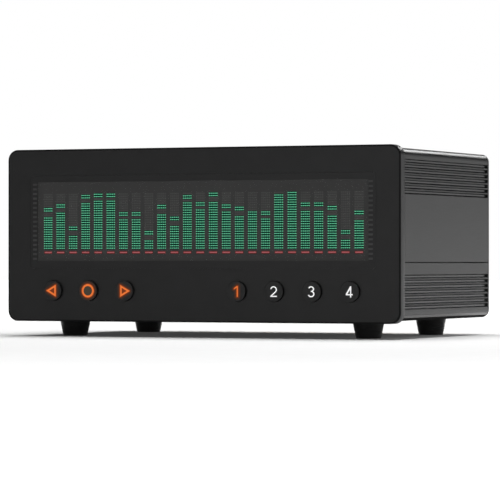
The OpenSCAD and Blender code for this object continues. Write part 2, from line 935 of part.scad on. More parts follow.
// Main board

module main_board() {
    color("#1f3d2a")
        translate([-main_w / 2, main_front_y, main_z])
            cube([main_w, main_len, board_t]);
}

module relays() {
    relay_y = case_back_y - jack_depth - relay_gap - relay_len;
    color("#d8a23a")
        for (x = jack_xs)
            translate([x - relay_w / 2, relay_y, main_top])
                cube([relay_w, relay_len, relay_h]);
}

module capacitors() {
    color("#2b3a66")
        for (i = [0 : capacitor_count - 1])
            translate([power_x + i * capacitor_pitch, capacitor_y, main_top])
                cylinder(h = capacitor_h, d = capacitor_d);
}

module controller_chip() {
    color("#151515")
        translate([chip_x - chip_w / 2, capacitor_y - chip_w / 2, main_top])
            cube([chip_w, chip_w, chip_t]);
}

// One socket on the back of the front board, one on top of the main board
module ribbon_sockets() {
    socket_w = ribbon_w + 2 * socket_side;
    color("#e6e2d6") {
        block_y(0, front_board_back_y, ribbon_z, [socket_w, socket_rise, socket_t]);
        translate([-socket_w / 2, ribbon_y - socket_t / 2, main_top])
            cube([socket_w, socket_t, socket_rise]);
    }
}

// Flat cable: straight out of the front socket, a quarter turn down, straight into the lower one
module ribbon_cable() {
    bend_y = front_board_back_y + socket_rise + ribbon_run;
    bend_z = ribbon_z - ribbon_r - ribbon_t / 2;
    end_z = main_top + socket_rise;
    color("#b9bcc4")
        translate([ribbon_w / 2, 0, 0])
            rotate([90, 0, -90])
                linear_extrude(ribbon_w) {
                    translate([-bend_y, ribbon_z - ribbon_t / 2])
                        square([ribbon_run, ribbon_t]);
                    translate([-bend_y, bend_z])
                        intersection() {
                            difference() {
                                circle(ribbon_r + ribbon_t);
                                circle(ribbon_r);
                            }
                            translate([-2 * ribbon_r, 0])
                                square([2 * ribbon_r, 2 * ribbon_r]);
                        }
                    translate([-ribbon_y - ribbon_t / 2, end_z])
                        square([ribbon_t, bend_z - end_z]);
                }
}

// Jacks

module at_jacks(xs) {
    for (x = xs, z = [jack_low_z, jack_high_z])
        translate([x, 0, z])
            children();
}

// Moulded block on the main board with a collar through the rear panel round each sleeve
module jack_block(x) {
    color("#1a1a1c")
        difference() {
            union() {
                translate([x - jack_w / 2, case_back_y - jack_depth, main_top])
                    cube([jack_w, jack_depth, jack_h]);
                at_jacks([x])
                    bar_y(0, sleeve_root_y, 0, collar_y - sleeve_root_y, collar_d);
            }
            at_jacks([x])
                bar_y(0, sleeve_root_y, 0, jack_depth, sleeve_d + 2 * sleeve_step + 2 * snug);
            bar_y(x, rear_y - jack_screw_len - air, jack_screw_z, jack_depth, jack_screw_d + 2 * snug);
        }
}

module jack_sleeves() {
    color("#d9b45a")
        at_jacks(jack_xs)
            difference() {
                union() {
                    bar_y(0, sleeve_root_y, 0, mouth_y - sleeve_root_y, sleeve_d);
                    bar_y(0, sleeve_root_y, 0, collar_y - sleeve_root_y, sleeve_d + 2 * sleeve_step);
                }
                bar_y(0, sleeve_root_y - sleeve_seat, 0, 2 * (mouth_y - sleeve_root_y),
                    sleeve_d - 2 * sleeve_wall);
            }
}

module insulating_rings(z) {
    ring_len = mouth_y - ring_setback - sleeve_root_y;
    for (x = jack_xs)
        difference() {
            bar_y(x, sleeve_root_y, z, ring_len, ring_outer_d);
            bar_y(x, sleeve_root_y - ring_len, z, 3 * ring_len, contact_d + 2 * snug);
        }
}

module left_channel_rings() {
    color("white")
        insulating_rings(jack_high_z);
}

module right_channel_rings() {
    color("#b5201e")
        insulating_rings(jack_low_z);
}

module jack_contacts() {
    contact_mouth_y = mouth_y - contact_setback;
    color("#d9b45a")
        at_jacks(jack_xs)
            difference() {
                bar_y(0, sleeve_root_y, 0, contact_mouth_y - sleeve_root_y, contact_d);
                bar_y(0, contact_mouth_y - socket_depth, 0, 2 * socket_depth, socket_d);
            }
}

module jack_screws() {
    color("#2c2c2e")
        for (x = jack_xs)
            translate([x, rear_y, jack_screw_z])
                rotate([-90, 0, 0])
                    screw(jack_screw_d, jack_screw_len, jack_screw_head_d, jack_screw_head_h);
}

module power_jack() {
    power_mouth_y = rear_y + power_collar_proud;
    bore_root_y = power_mouth_y - power_bore_depth;
    color("#1a1a1c")
        difference() {
            union() {
                translate([power_x - power_w / 2, case_back_y - power_depth, main_top])
                    cube([power_w, power_depth, power_h]);
                bar_y(power_x, case_back_y - power_depth / 2, jack_low_z,
                    power_depth / 2 + rear_t + power_collar_proud, power_collar_d);
            }
            bar_y(power_x, bore_root_y, jack_low_z, 2 * power_bore_depth, power_bore_d);
            bar_y(power_x, bore_root_y - power_pin_root, jack_low_z, power_bore_depth,
                power_pin_d + 2 * snug);
        }
}

module power_jack_pin() {
    pin_root_y = rear_y + power_collar_proud - power_bore_depth - power_pin_root;
    pin_len = power_bore_depth + power_pin_root - power_pin_setback;
    color("silver")
        bar_y(power_x, pin_root_y, jack_low_z, pin_len, power_pin_d);
}

front_panel();
display_window();
display_glass();
display_leads();
display_pad();
front_board();
board_spacers();
board_screws();
switch_bodies();
switch_domes();
button_lamps();
for (i = [0 : len(marks) - 1]) {
    cap(i);
    legend(i);
    plunger(i);
}
upper_case();
lower_case();
rear_panel();
tie_screws();
for (i = [0 : len(foot_names) - 1])
    foot(i);
foot_screws();
main_board();
relays();
capacitors();
controller_chip();
ribbon_cable();
ribbon_sockets();
for (i = [0 : input_count - 1])
    jack_block(jack_xs[i]);
jack_block(output_x);  // output_jack
jack_sleeves();
left_channel_rings();
right_channel_rings();
jack_contacts();
jack_screws();
power_jack();
power_jack_pin();
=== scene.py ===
# %% [markdown]
# # Dressing an audio source selector
# The real object is a black metal box for a desk. Its front carries a dot display behind a smoked sheet and
# seven push buttons, its sides are grooved extrusions, and its back has two rows of gold jacks. The packed
# part already has every piece at its true size and place. This lesson gives the pieces their looks: rounder
# edges where light needs an edge to catch, finishes with grain, a lit display, a studio and a camera. All
# sizes below are in millimetres, and one factor turns them into the metres that Blender counts in.

import bmesh
import bpy
import numpy as np
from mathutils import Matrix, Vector
from mathutils.geometry import delaunay_2d_cdt


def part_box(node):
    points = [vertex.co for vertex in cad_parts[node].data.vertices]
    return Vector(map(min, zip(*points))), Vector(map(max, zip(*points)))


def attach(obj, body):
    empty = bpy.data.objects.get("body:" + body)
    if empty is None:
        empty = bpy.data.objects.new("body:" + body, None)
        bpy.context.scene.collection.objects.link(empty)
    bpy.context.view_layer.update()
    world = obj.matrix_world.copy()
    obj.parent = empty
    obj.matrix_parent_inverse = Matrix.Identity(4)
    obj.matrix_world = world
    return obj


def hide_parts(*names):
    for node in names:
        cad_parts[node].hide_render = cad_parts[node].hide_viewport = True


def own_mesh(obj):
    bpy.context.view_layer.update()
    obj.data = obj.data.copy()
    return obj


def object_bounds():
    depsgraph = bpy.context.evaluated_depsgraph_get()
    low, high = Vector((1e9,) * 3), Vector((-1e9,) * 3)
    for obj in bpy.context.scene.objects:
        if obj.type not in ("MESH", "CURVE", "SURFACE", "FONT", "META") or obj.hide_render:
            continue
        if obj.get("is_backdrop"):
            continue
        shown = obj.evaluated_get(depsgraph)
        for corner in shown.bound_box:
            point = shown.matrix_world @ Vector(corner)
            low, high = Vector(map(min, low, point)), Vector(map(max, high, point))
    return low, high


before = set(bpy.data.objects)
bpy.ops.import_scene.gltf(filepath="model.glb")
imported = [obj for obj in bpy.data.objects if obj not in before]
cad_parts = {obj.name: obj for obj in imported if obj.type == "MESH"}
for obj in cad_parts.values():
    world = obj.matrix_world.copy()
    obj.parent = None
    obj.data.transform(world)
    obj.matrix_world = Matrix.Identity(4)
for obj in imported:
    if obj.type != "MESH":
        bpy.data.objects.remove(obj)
cad_box = [list(corner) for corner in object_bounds()]
MM = 0.001

# %% [markdown]
# ## Camera
# The photograph was taken from the right of the front, from almost table height and with a long lens. The
# lens and the place were worked out from the straight edges of the panel and the case, which all have known
# directions. A long lens far away keeps the front panel's edges nearly parallel, as in the photograph.


# %% Camera
def add_object(name, data):
    """New object with this data, linked into the scene."""
    thing = bpy.data.objects.new(name, data)
    bpy.context.scene.collection.objects.link(thing)
    return thing


def aim(thing, direction):
    """Turns a camera or a light, which look along their own -Z, so that it looks in a direction."""
    thing.rotation_euler = Vector(direction).to_track_quat("-Z", "Y").to_euler()


lens = bpy.data.cameras.new("camera")
lens.lens = 231.67
lens.sensor_width = 36
camera = add_object("camera", lens)
camera.location = (0.50423, -1.12931, 0.02875)
aim(camera, (-0.40963, 0.91225, 0.003135))
bpy.context.scene.camera = camera
print("camera stands", round(camera.location.length, 3), "m from the origin")

# %% [markdown]
# ## Surfaces as arrays
# Nearly every piece here is a profile carried round a loop: a panel's edge, a button, a foot, a jack
# sleeve. A round-cornered loop is a circle pulled apart into four quarters, so one formula serves both.
# Working it out with whole arrays keeps each shape to a few lines, and a rounder edge is only a longer
# profile.


# %% Loops and patches
def loop_of(width, height, radius, steps=10):
    """Round-cornered loop as two arrays: the middle of the corner arc that each point belongs to, and the
    unit direction from there. Middles lie one radius inside the four corners, and directions run once round
    the circle, a quarter for each corner."""
    turn = np.linspace(0, np.pi / 2, steps) + np.pi / 2 * np.arange(4)[:, None]
    corners = np.array([[1, 1], [-1, 1], [-1, -1], [1, -1]]) * [width / 2 - radius, height / 2 - radius]
    directions = np.stack([np.cos(turn), np.sin(turn)], -1).reshape(-1, 2)
    return np.repeat(corners, steps, axis=0), directions


def circle(steps):
    """Loop whose four corner arcs share one middle: a circle of four times that many points."""
    return loop_of(0, 0, 0, steps)


def place(flat, height, axis="y"):
    """Points in space: a flat pair (x, z) and the height as y, or for axis z a pair (x, y) and it."""
    height = np.broadcast_to(height, flat.shape[:-1])
    order = (flat[..., 0], height, flat[..., 1]) if axis == "y" else (flat[..., 0], flat[..., 1], height)
    return np.stack(order, -1)


def grid(points):
    """Patch of a grid of rows and columns: its points, and a quad between each point, its neighbour in the
    row and the two above them. The last column joins the first."""
    rows, columns = points.shape[:2]
    start = np.arange(rows - 1)[:, None] * columns
    here = start + np.arange(columns)
    there = start + (np.arange(columns) + 1) % columns
    quads = np.stack([here, there, there + columns, here + columns], -1)
    return points.reshape(-1, 3), quads.reshape(-1, 4)


def carry(profile, loop, centre=(0, 0), axis="y"):
    """Patch of a profile carried round a loop. Point (k, j) is the middle of corner arc j plus direction j
    times the profile's radius k, at the profile's height k along the axis."""
    middles, directions = loop
    profile = np.asarray(profile, float)
    flat = middles + directions * profile[:, 0, None, None] + np.asarray(centre, float)
    return grid(place(flat, profile[:, 1, None], axis))


print("a loop with 10 steps has", len(loop_of(2, 2, 1)[0]), "points")


# %% [markdown]
# ## Flat faces and fillets
# A flat face with holes is bounded by loops. Triangles are stretched between all their points with the
# loops kept as edges, and those outside the face are dropped. Real edges are never quite sharp, so a
# profile ends in a quarter-round of a few steps, and that narrow strip is what catches the light.


# %% Flat faces and fillets
def edge_of(loop, radius, centre=(0, 0)):
    """The loop itself as flat points: each middle plus its direction times the radius."""
    return loop[0] + loop[1] * radius + np.asarray(centre, float)


def fill(loops, height):
    """Flat patch inside the first loop and outside the rest, as triangles whose edges keep to the loops. A
    triangle is kept where a line from its middle towards +x crosses the loops an odd number of times."""
    loops = [line[np.linalg.norm(line - np.roll(line, 1, 0), axis=1) > 1e-6] for line in loops]
    starts = np.concatenate(loops)
    stops = np.concatenate([np.roll(line, -1, 0) for line in loops])
    ends = np.cumsum([len(line) for line in loops])
    following = np.arange(ends[-1]) + 1
    following[ends - 1] = np.concatenate([[0], ends[:-1]])
    edges = np.stack([np.arange(ends[-1]), following], -1)
    found = delaunay_2d_cdt(starts.tolist(), edges.tolist(), [], 0, 1e-6)
    corners, triangles = np.array(found[0]), np.array(found[2])
    x, z = np.split(corners[triangles].mean(axis=1), 2, axis=1)
    rise = stops[:, 1] - starts[:, 1]
    share = (z - starts[:, 1]) / np.where(rise == 0, 1, rise)
    crossed = (starts[:, 1] > z) != (stops[:, 1] > z)
    crossed &= starts[:, 0] + share * (stops[:, 0] - starts[:, 0]) > x
    return place(corners, height), triangles[crossed.sum(axis=1) % 2 == 1]


def fillet(radius, height, size, side, steps=5, shoulder=1.6):
    """Quarter-round of a profile between a wall at this radius and a flat end at this height. An angle runs
    from the wall to the end: radius minus size times one minus its cosine, height minus size times one
    minus its sine, with side telling which way the end faces. A last point, shoulder times the size further
    in, keeps the flat face flat."""
    angle = np.linspace(0, np.pi / 2, steps)
    inwards = np.append(size * (1 - np.cos(angle)), shoulder * size)
    back = np.append(size * (1 - np.sin(angle)), 0)
    return np.stack([radius - inwards, height - side * back], -1)


print("a fillet of 5 steps has", len(fillet(1, 0, 0.2, 1)), "points")


# %% [markdown]
# ## From patches to a piece
# A piece is a list of patches. Welding joins patches that share an edge, and after that the faces of a
# closed mesh can be turned outwards. Shading is smooth, with a hard line only where two faces meet at a
# steep angle, so a fillet of five steps reads as one round edge.


# %% Make a piece
def make_piece(name, patches, finishes, body="case", stands_for=(), closed=True, sharp=33):
    """Joins patches of points, faces and the number of their finish, and lets the piece ride on a body."""
    starts = np.cumsum([0] + [len(patch[0]) for patch in patches[:-1]])
    faces = [face for patch, start in zip(patches, starts) for face in (patch[1] + start).tolist()]
    numbers = [np.broadcast_to(patch[2] if len(patch) > 2 else 0, len(patch[1])) for patch in patches]
    mesh = bpy.data.meshes.new(name)
    mesh.from_pydata((np.concatenate([patch[0] for patch in patches]) * MM).tolist(), [], faces)
    mesh.polygons.foreach_set("material_index", np.concatenate(numbers).astype(np.int32))
    if closed:
        shape = bmesh.new()
        shape.from_mesh(mesh)
        bmesh.ops.remove_doubles(shape, verts=shape.verts, dist=1e-6)
        bmesh.ops.recalc_face_normals(shape, faces=shape.faces)
        shape.to_mesh(mesh)
        shape.free()
    mesh.polygons.foreach_set("use_smooth", np.ones(len(mesh.polygons), bool))
    mesh.set_sharp_from_angle(angle=np.radians(sharp))
    piece = add_object(name, mesh)
    for finish in finishes:
        mesh.materials.append(finish)
    if body:
        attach(piece, body)
    if stands_for:
        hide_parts(*stands_for)
    print(name, "has", len(mesh.polygons), "faces")
    return piece


def box_mm(node):
    """Lowest and highest corner of a node of the frame, in millimetres."""
    return [np.array(corner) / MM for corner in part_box(node)]


def face_of(node):
    """Size and centre of a node's box as seen along y, and its two ends along y, in millimetres."""
    low, high = box_mm(node)
    return (high - low)[[0, 2]], (high + low)[[0, 2]] / 2, (low[1], high[1])


# %% [markdown]
# ## Finishes
# Every finish is one Principled shader. What makes it look real is that nothing about it is quite even:
# colour, shine and height all follow a noise, and for shine and height it is as fine as the real grain. The
# noise reads Object coordinates, which are the part's own metres, so a grain of 0.2 mm is 0.2 mm
# everywhere. Values that are the same all over are set on the shader itself.


# %% Finish helpers
noise_low, noise_high = 0.3, 0.7


def new_finish(name):
    """Material with one Principled node: the material, that node's inputs, and Object coordinates."""
    finish = bpy.data.materials.new(name)
    finish.use_nodes = True
    nodes = finish.node_tree.nodes
    where = nodes.new("ShaderNodeTexCoord").outputs["Object"]
    return finish, nodes["Principled BSDF"].inputs, where


def settle(inputs, settings):
    """Sets the sockets of a node that have one value all over."""
    for socket, value in settings.items():
        inputs[socket].default_value = value


def grain(finish, where, size, stretch=(1, 1, 1), detail=3):
    """Noise with blotches about size millimetres across, drawn out along an axis by its stretch."""
    tree = finish.node_tree
    mapping = tree.nodes.new("ShaderNodeMapping")
    settle(mapping.inputs, {"Scale": [1 / factor for factor in stretch]})
    noise = tree.nodes.new("ShaderNodeTexNoise")
    settle(noise.inputs, {"Scale": 1 / (size * MM), "Detail": detail})
    tree.links.new(where, mapping.inputs["Vector"])
    tree.links.new(mapping.outputs["Vector"], noise.inputs["Vector"])
    return noise.outputs["Fac"]


def colours(finish, factor, low, high, target):
    """Colour from low to high over the middle of the factor's range, where most of a noise lies."""
    blend = finish.node_tree.nodes.new("ShaderNodeValToRGB")
    for element, position, colour in zip(blend.color_ramp.elements, (noise_low, noise_high), (low, high)):
        element.position = position
        element.color = (*colour, 1)
    finish.node_tree.links.new(factor, blend.inputs["Fac"])
    finish.node_tree.links.new(blend.outputs["Color"], target)


def ramp(tree, source, start, end, low=0.0, high=1.0, course="SMOOTHSTEP"):
    """Number that goes from low to high while the source goes from start to end, smoothly or evenly."""
    share = tree.nodes.new("ShaderNodeMapRange")
    share.interpolation_type = course
    settle(share.inputs, {"From Min": start, "From Max": end, "To Min": low, "To Max": high})
    tree.links.new(source, share.inputs["Value"])
    return share.outputs["Result"]


def values(finish, factor, low, high, target):
    """Number that goes from low to high over the middle of the factor's range."""
    number = ramp(finish.node_tree, factor, noise_low, noise_high, low, high, "LINEAR")
    finish.node_tree.links.new(number, target)


def relief(finish, factor, depth, target):
    """Height that follows the factor, depth millimetres from its lowest to its highest."""
    bump = finish.node_tree.nodes.new("ShaderNodeBump")
    settle(bump.inputs, {"Strength": 1, "Distance": depth * MM})
    finish.node_tree.links.new(factor, bump.inputs["Height"])
    finish.node_tree.links.new(bump.outputs["Normal"], target)


print("a noise is spread between", noise_low, "and", noise_high)


# %% [markdown]
# ## Finishes of the front panel
# The panel is a thick aluminium plate, bead blasted and anodised black. Blasting leaves a matt grain of
# tiny dents, so height and roughness follow a noise of about a fifth of a millimetre. The front edge gets a
# darker, duller copy of the face's finish, a painted shade that shows as a thin dark line, and the sides are
# smoother than the face, so they reflect more.
# Paint, plastic and plating differ from this only in colour, shine, grain and how metallic they are, so one
# function makes them all. A much broader noise lets their colour drift a little, which the eye expects of a
# real surface.


# %% Finishes of the front panel
def coated(name, colour, rough, size=0.3, depth=0.004, vary=0.15, metal=0.0, specular=0.5,
           stretch=(1, 1, 1), blotch=40):
    """Paint, plastic or metal with a fine grain. Roughness and height follow the grain, and colour follows
    a noise blotch times as large. Colour and roughness sway by a share vary round their middle."""
    finish, inputs, where = new_finish(name)
    fine = grain(finish, where, size, stretch)
    broad = grain(finish, where, blotch * size, stretch, 2)
    low = [value * (1 - vary) for value in colour]
    high = [value * (1 + vary) for value in colour]
    colours(finish, broad, low, high, inputs["Base Color"])
    values(finish, fine, rough * (1 - vary), min(1, rough * (1 + vary)), inputs["Roughness"])
    relief(finish, fine, depth, inputs["Normal"])
    settle(inputs, {"Metallic": metal, "Specular IOR Level": specular})
    return finish


panel_black = coated("panel_black", (0.0055, 0.0055, 0.0057), 0.42, size=0.2, depth=0.002, specular=0.33)
# The edge finish is a darker copy of the face's: a painted shade for the thin dark line along the front
# edge.
edge_painted_shade = coated("edge_painted_shade", (0.004, 0.004, 0.0042), 0.5, size=0.2, depth=0.002, specular=0.12)
side_black = coated("side_black", (0.0055, 0.0055, 0.0057), 0.32, size=0.2, depth=0.001, specular=0.29)
print("finishes of the panel:", panel_black.name, edge_painted_shade.name, side_black.name)

# %% [markdown]
# ## Front panel
# One mesh can carry all three finishes, because each patch names its own: the face, the small fillet round
# it and the sides. A recess holds the smoked sheet flush, and seven round holes let the buttons through.
# The flat face is filled between the edge, the recess and the holes.

# %% Front panel
marks = ["left_arrow", "ring", "right_arrow", "1", "2", "3", "4"]
panel_under = box_mm("front_panel")[0][2]
panel_size, panel_centre, (front, panel_back) = face_of("front_panel")
window_size, window_centre, (_, ledge) = face_of("display_window")
cap_boxes = np.array([box_mm("cap_" + mark) for mark in marks])
cap_places = cap_boxes.mean(axis=1)[:, [0, 2]]
corner, recess_corner, sight_corner, front_round, back_round = 4.0, 1.5, 0.25, 0.4, 0.2
snug, shelf, cap_radius, hole_radius = 0.05, 2.0, 3.75, 3.83

panel_loop = loop_of(*panel_size, corner, 16)
panel_edge = fillet(corner, front, front_round, -1)[::-1]
panel_side = np.concatenate([panel_edge[-1:], fillet(corner, panel_back, back_round, 1)])
recess_loop = loop_of(*(window_size + 2 * snug), recess_corner, 8)
sight_loop = loop_of(*(window_size - 2 * shelf), sight_corner, 4)
recess_line = edge_of(recess_loop, recess_corner, window_centre)
sight_line = edge_of(sight_loop, sight_corner, window_centre)
hole_loop = circle(13)
hole_edge = np.array([[0.2, front], [0.04, front], [0.01, front + 0.01], [0, front + 0.04], [0, panel_back]])
hole_edge[:, 0] += hole_radius
hole_lines, back_lines = [
    [edge_of(hole_loop, radius, spot) for spot in cap_places] for radius in (hole_edge[0, 0], hole_radius)]
make_piece("front_plate", [
    fill([edge_of(panel_loop, panel_edge[0, 0], panel_centre), recess_line, *hole_lines], front),
    fill([edge_of(panel_loop, panel_side[-1, 0], panel_centre), sight_line, *back_lines], panel_back),
    fill([recess_line, sight_line], ledge),
    (*carry(panel_edge, panel_loop, panel_centre), 1),
    (*carry(panel_side, panel_loop, panel_centre), 2),
    carry([[recess_corner, front], [recess_corner, ledge]], recess_loop, window_centre),
    carry([[sight_corner, ledge], [sight_corner, panel_back]], sight_loop, window_centre),
    *[carry(hole_edge, hole_loop, spot) for spot in cap_places],
], [panel_black, edge_painted_shade, side_black], stands_for=["front_panel"])

# %% [markdown]
# ## Smoked sheet
# The display sits behind a sheet of smoked acrylic that is flush with the panel. A black border is printed
# on its front, with a column of fine grey ticks at each end, so nothing but the display shows through and
# the sheet's edge can hardly be told from the panel. The border is the same mesh with a second finish,
# split off by a loop round the clear part. A constant Alpha on the shader lets the glow through without
# slow refraction, and other programs can read it. The sheet shines very little, because the few reflections
# of a nearly clear surface would be specks.

# %% Smoked sheet
smoked, inputs, where = new_finish("smoked_window")
colours(smoked, grain(smoked, where, 9, detail=2), (0.002, 0.002, 0.0021), (0.003, 0.003, 0.0031),
        inputs["Base Color"])
values(smoked, grain(smoked, where, 0.25), 0.40, 0.50, inputs["Roughness"])
settle(inputs, {"Specular IOR Level": 0.05, "Alpha": 0.12})
border_black = coated("border_black", (0.0055, 0.0055, 0.0057), 0.42, size=0.25, depth=0.001, specular=0.34)

clear_size, clear_centre = np.array([135.2, 29.7]), np.array([0.0, panel_under + 37.55])
sheet_corner, clear_corner = 1.45, 0.4
sheet_loop = loop_of(*window_size, sheet_corner, 8)
sheet_edge = edge_of(sheet_loop, sheet_corner, window_centre)
clear_edge = edge_of(loop_of(*clear_size, clear_corner, 4), clear_corner, clear_centre)
make_piece("smoked_sheet", [
    fill([clear_edge], front), fill([sheet_edge], ledge),
    (*fill([sheet_edge, clear_edge], front), 1),
    (*carry([[sheet_corner, front], [sheet_corner, ledge]], sheet_loop, window_centre), 1),
], [smoked, border_black], stands_for=["display_window"])


def tiles(places, size, height, sides=4):
    """Flat plates with some number of sides, one for each place. Corner j of plate i is place i plus half
    the size times the cosine and sine of its angle, over the cosine of half a step, so that the sides are a
    size apart."""
    angle = np.pi / sides * (1 + 2 * np.arange(sides))
    ring = np.stack([np.cos(angle), np.sin(angle)], -1) / np.cos(np.pi / sides)
    flat = places[:, None] + ring * np.asarray(size) / 2
    return place(flat, height).reshape(-1, 3), np.arange(sides * len(places)).reshape(-1, sides)


ink_grey = coated("ink_grey", (0.05, 0.05, 0.05), 0.6, size=0.3, depth=0.001, specular=0.2)
tick_x, tick_pitch, tick_size, tick_count, tick_lift = 68.43, 1.75, (1.7, 0.8), 17, 0.01
tick_zs = clear_centre[1] + tick_pitch * (np.arange(tick_count) - tick_count // 2)
tick_spots = np.stack(np.meshgrid([-tick_x, tick_x], tick_zs), -1).reshape(-1, 2)
make_piece("window_ticks", [tiles(tick_spots, tick_size, front - tick_lift)], [ink_grey],
           closed=False)

# %% [markdown]
# ## Display glass
# Behind the sheet is a flat glass envelope with a dark grey coating. The whole face glows faintly and
# evenly, a painted light that stands in for the light falling on the coating, and the dots that are off
# glow a little lighter again, painted light as well. A glow is a base colour with grain and a constant
# light on the shader. The glass keeps the part's own shape and only needs a finish.

# %% Display glass
def glowing(name, low, high, light, size=0.8):
    """Phosphor: a base colour that sways with a noise, and light of one colour. Rays that look for lights
    skip it, because thousands of small lights would only add specks."""
    finish, inputs, where = new_finish(name)
    colours(finish, grain(finish, where, size), low, high, inputs["Base Color"])
    values(finish, grain(finish, where, size), 0.5, 0.7, inputs["Roughness"])
    settle(inputs, {"Emission Color": (*light, 1), "Emission Strength": 1, "Specular IOR Level": 0.05})
    finish.cycles.emission_sampling = "NONE"
    return finish


glass_size, _, (glass_front, _) = face_of("display_glass")
# The glass's glow is painted light: it stands in for the light that falls on its grey coating.
glass_painted_glow = glowing("display_glass", (0.028, 0.028, 0.028), (0.032, 0.032, 0.032),
                     (0.031, 0.031, 0.0304))
print("glass face is", np.round(glass_size, 1), "mm")

# %% [markdown]
# ## Lit dots
# The display draws a spectrum: 25 bars, each five dots wide, with a short red dash under every bar and,
# over most, a small marker that stays behind at the peak. Each dot is a flat eight-sided chip a hair in
# front of the glass. All dots of one colour are one mesh: places of the dots on one axis of an array, the
# eight corners on another. Under the lit dots and dashes lie dimmer plates, because a glow spreads a little
# in the phosphor.

# %% Lit dots
bar_pitch, dot_pitch, row_pitch, bars, rows, dots = 5.285, 0.745, 0.88, 25, 24, 5
bar_rows = np.array([14, 16, 6, 20, 21, 21, 13, 13, 4, 15, 10, 20, 17, 20, 16, 14, 16, 13, 23, 24, 16, 16,
                     14, 4, 12])
peak_rows = np.array([16, 17.6, 8, 21.5, 22, 22, 14, 14, 6, 17, 12, 21, 18, 22, 17, 16, 0, 14, 0, 0, 17.5,
                      17.5, 16, 6, 14])
bar_x = bar_pitch * (np.arange(bars) - bars // 2)
dot_x = dot_pitch * (np.arange(dots) - dots // 2)
first_row_z, dash_z = panel_under + 27.51, panel_under + 25.92
lit_y, haze_y, unlit_y = glass_front - np.array([0.06, 0.03, 0.02])

bar, row, dot = np.meshgrid(np.arange(bars), np.arange(rows), np.arange(dots), indexing="ij")
spots = np.stack([bar_x[bar] + dot_x[dot], first_row_z + row_pitch * row], -1)
lit = row < bar_rows[bar]
marked, step, column = np.meshgrid(np.flatnonzero(peak_rows), np.arange(2), np.arange(dots), indexing="ij")
peak_z = first_row_z + row_pitch * (peak_rows[marked] + step)
peak_spots = np.stack([bar_x[marked] + dot_x[column], peak_z], -1)
lit_spots = np.concatenate([spots[lit], peak_spots.reshape(-1, 2)])
lit_rows = np.concatenate([spots[lit & (dot == dots // 2)], peak_spots[:, :, dots // 2].reshape(-1, 2)])
dash_spots = np.stack([bar_x, np.full(bars, dash_z)], -1)

green = glowing("lit_green", (0.06, 0.2, 0.12), (0.08, 0.24, 0.15), (0.18, 0.84, 0.49))
green_haze = glowing("green_haze", (0.0, 0.012, 0.007), (0.0, 0.016, 0.009), (0.006, 0.026, 0.016))
red = glowing("lit_red", (0.12, 0.05, 0.05), (0.15, 0.06, 0.06), (0.4, 0.1, 0.105))
red_haze = glowing("red_haze", (0.05, 0.01, 0.01), (0.06, 0.012, 0.012), (0.085, 0.004, 0.005))
# The unlit dots glow a little too: painted light for the light on their grey phosphor.
unlit_painted_glow = glowing("unlit_dot_painted_glow", (0.038, 0.038, 0.038), (0.042, 0.042, 0.042), (0.048, 0.048, 0.0472))

for name, patch, finish in (
    ("dots_green", tiles(lit_spots, (0.56, 0.28), lit_y, 8), green),
    ("bars_haze", tiles(lit_rows, (3.4, row_pitch), haze_y), green_haze),
    ("dots_unlit", tiles(spots[~lit], (0.6, 0.64), unlit_y, 8), unlit_painted_glow),
    ("dashes_red", tiles(dash_spots, (3.0, 0.5), lit_y), red),
    ("dashes_haze", tiles(dash_spots, (3.3, 0.95), haze_y), red_haze),
):
    make_piece(name, [patch], [finish], closed=False)

# %% [markdown]
# ## Buttons
# A button is a round cap that stands a little out of the panel. Its face has nearly the panel's colour, and
# its side is a duller black that shows as a dark crescent. The cap is a profile turned round its axis: the
# face, a tight fillet, the side, and the flange that keeps it behind the panel. Each one rides on its own
# body, so it moves.

# %% Buttons
cap_black = coated("cap_black", (0.006, 0.006, 0.0062), 0.44, size=0.25, depth=0.002, specular=0.34)
cap_side = coated("cap_side", (0.006, 0.006, 0.006), 0.6, size=0.25, depth=0.002, specular=0.3)
flange_front, flange_radius, cap_round, sunk, change = panel_back + 0.1, 4.7, 0.12, 0.03, 2
cap_loop = circle(17)
for mark, spot, box in zip(marks, cap_places, cap_boxes):
    face, cap_end = box[0][1] + sunk, box[1][1]
    rim = fillet(cap_radius, face, cap_round, -1)[::-1]
    flange = np.array([[cap_radius, flange_front], [flange_radius, flange_front], [flange_radius, cap_end]])
    make_piece("button_" + mark, [
        fill([edge_of(cap_loop, rim[0, 0], spot)], face),
        carry(rim[:change + 1], cap_loop, spot),
        (*carry(np.concatenate([rim[change:], flange]), cap_loop, spot), 1),
        (*fill([edge_of(cap_loop, flange_radius, spot)], cap_end), 1),
    ], [cap_black, cap_side], body="button_" + mark, stands_for=["cap_" + mark])

# %% [markdown]
# ## Rounded corners
# Light spreads alike in all directions, so the outline of a glow has no sharp corners. Each corner of a
# closed line gives way to an arc that touches both of its sides. The sections of the case will need the
# same.


# %% Rounded corners
def unit(vectors):
    """Vectors of the same directions and of length one."""
    return vectors / np.maximum(np.linalg.norm(vectors, axis=1, keepdims=True), 1e-9)


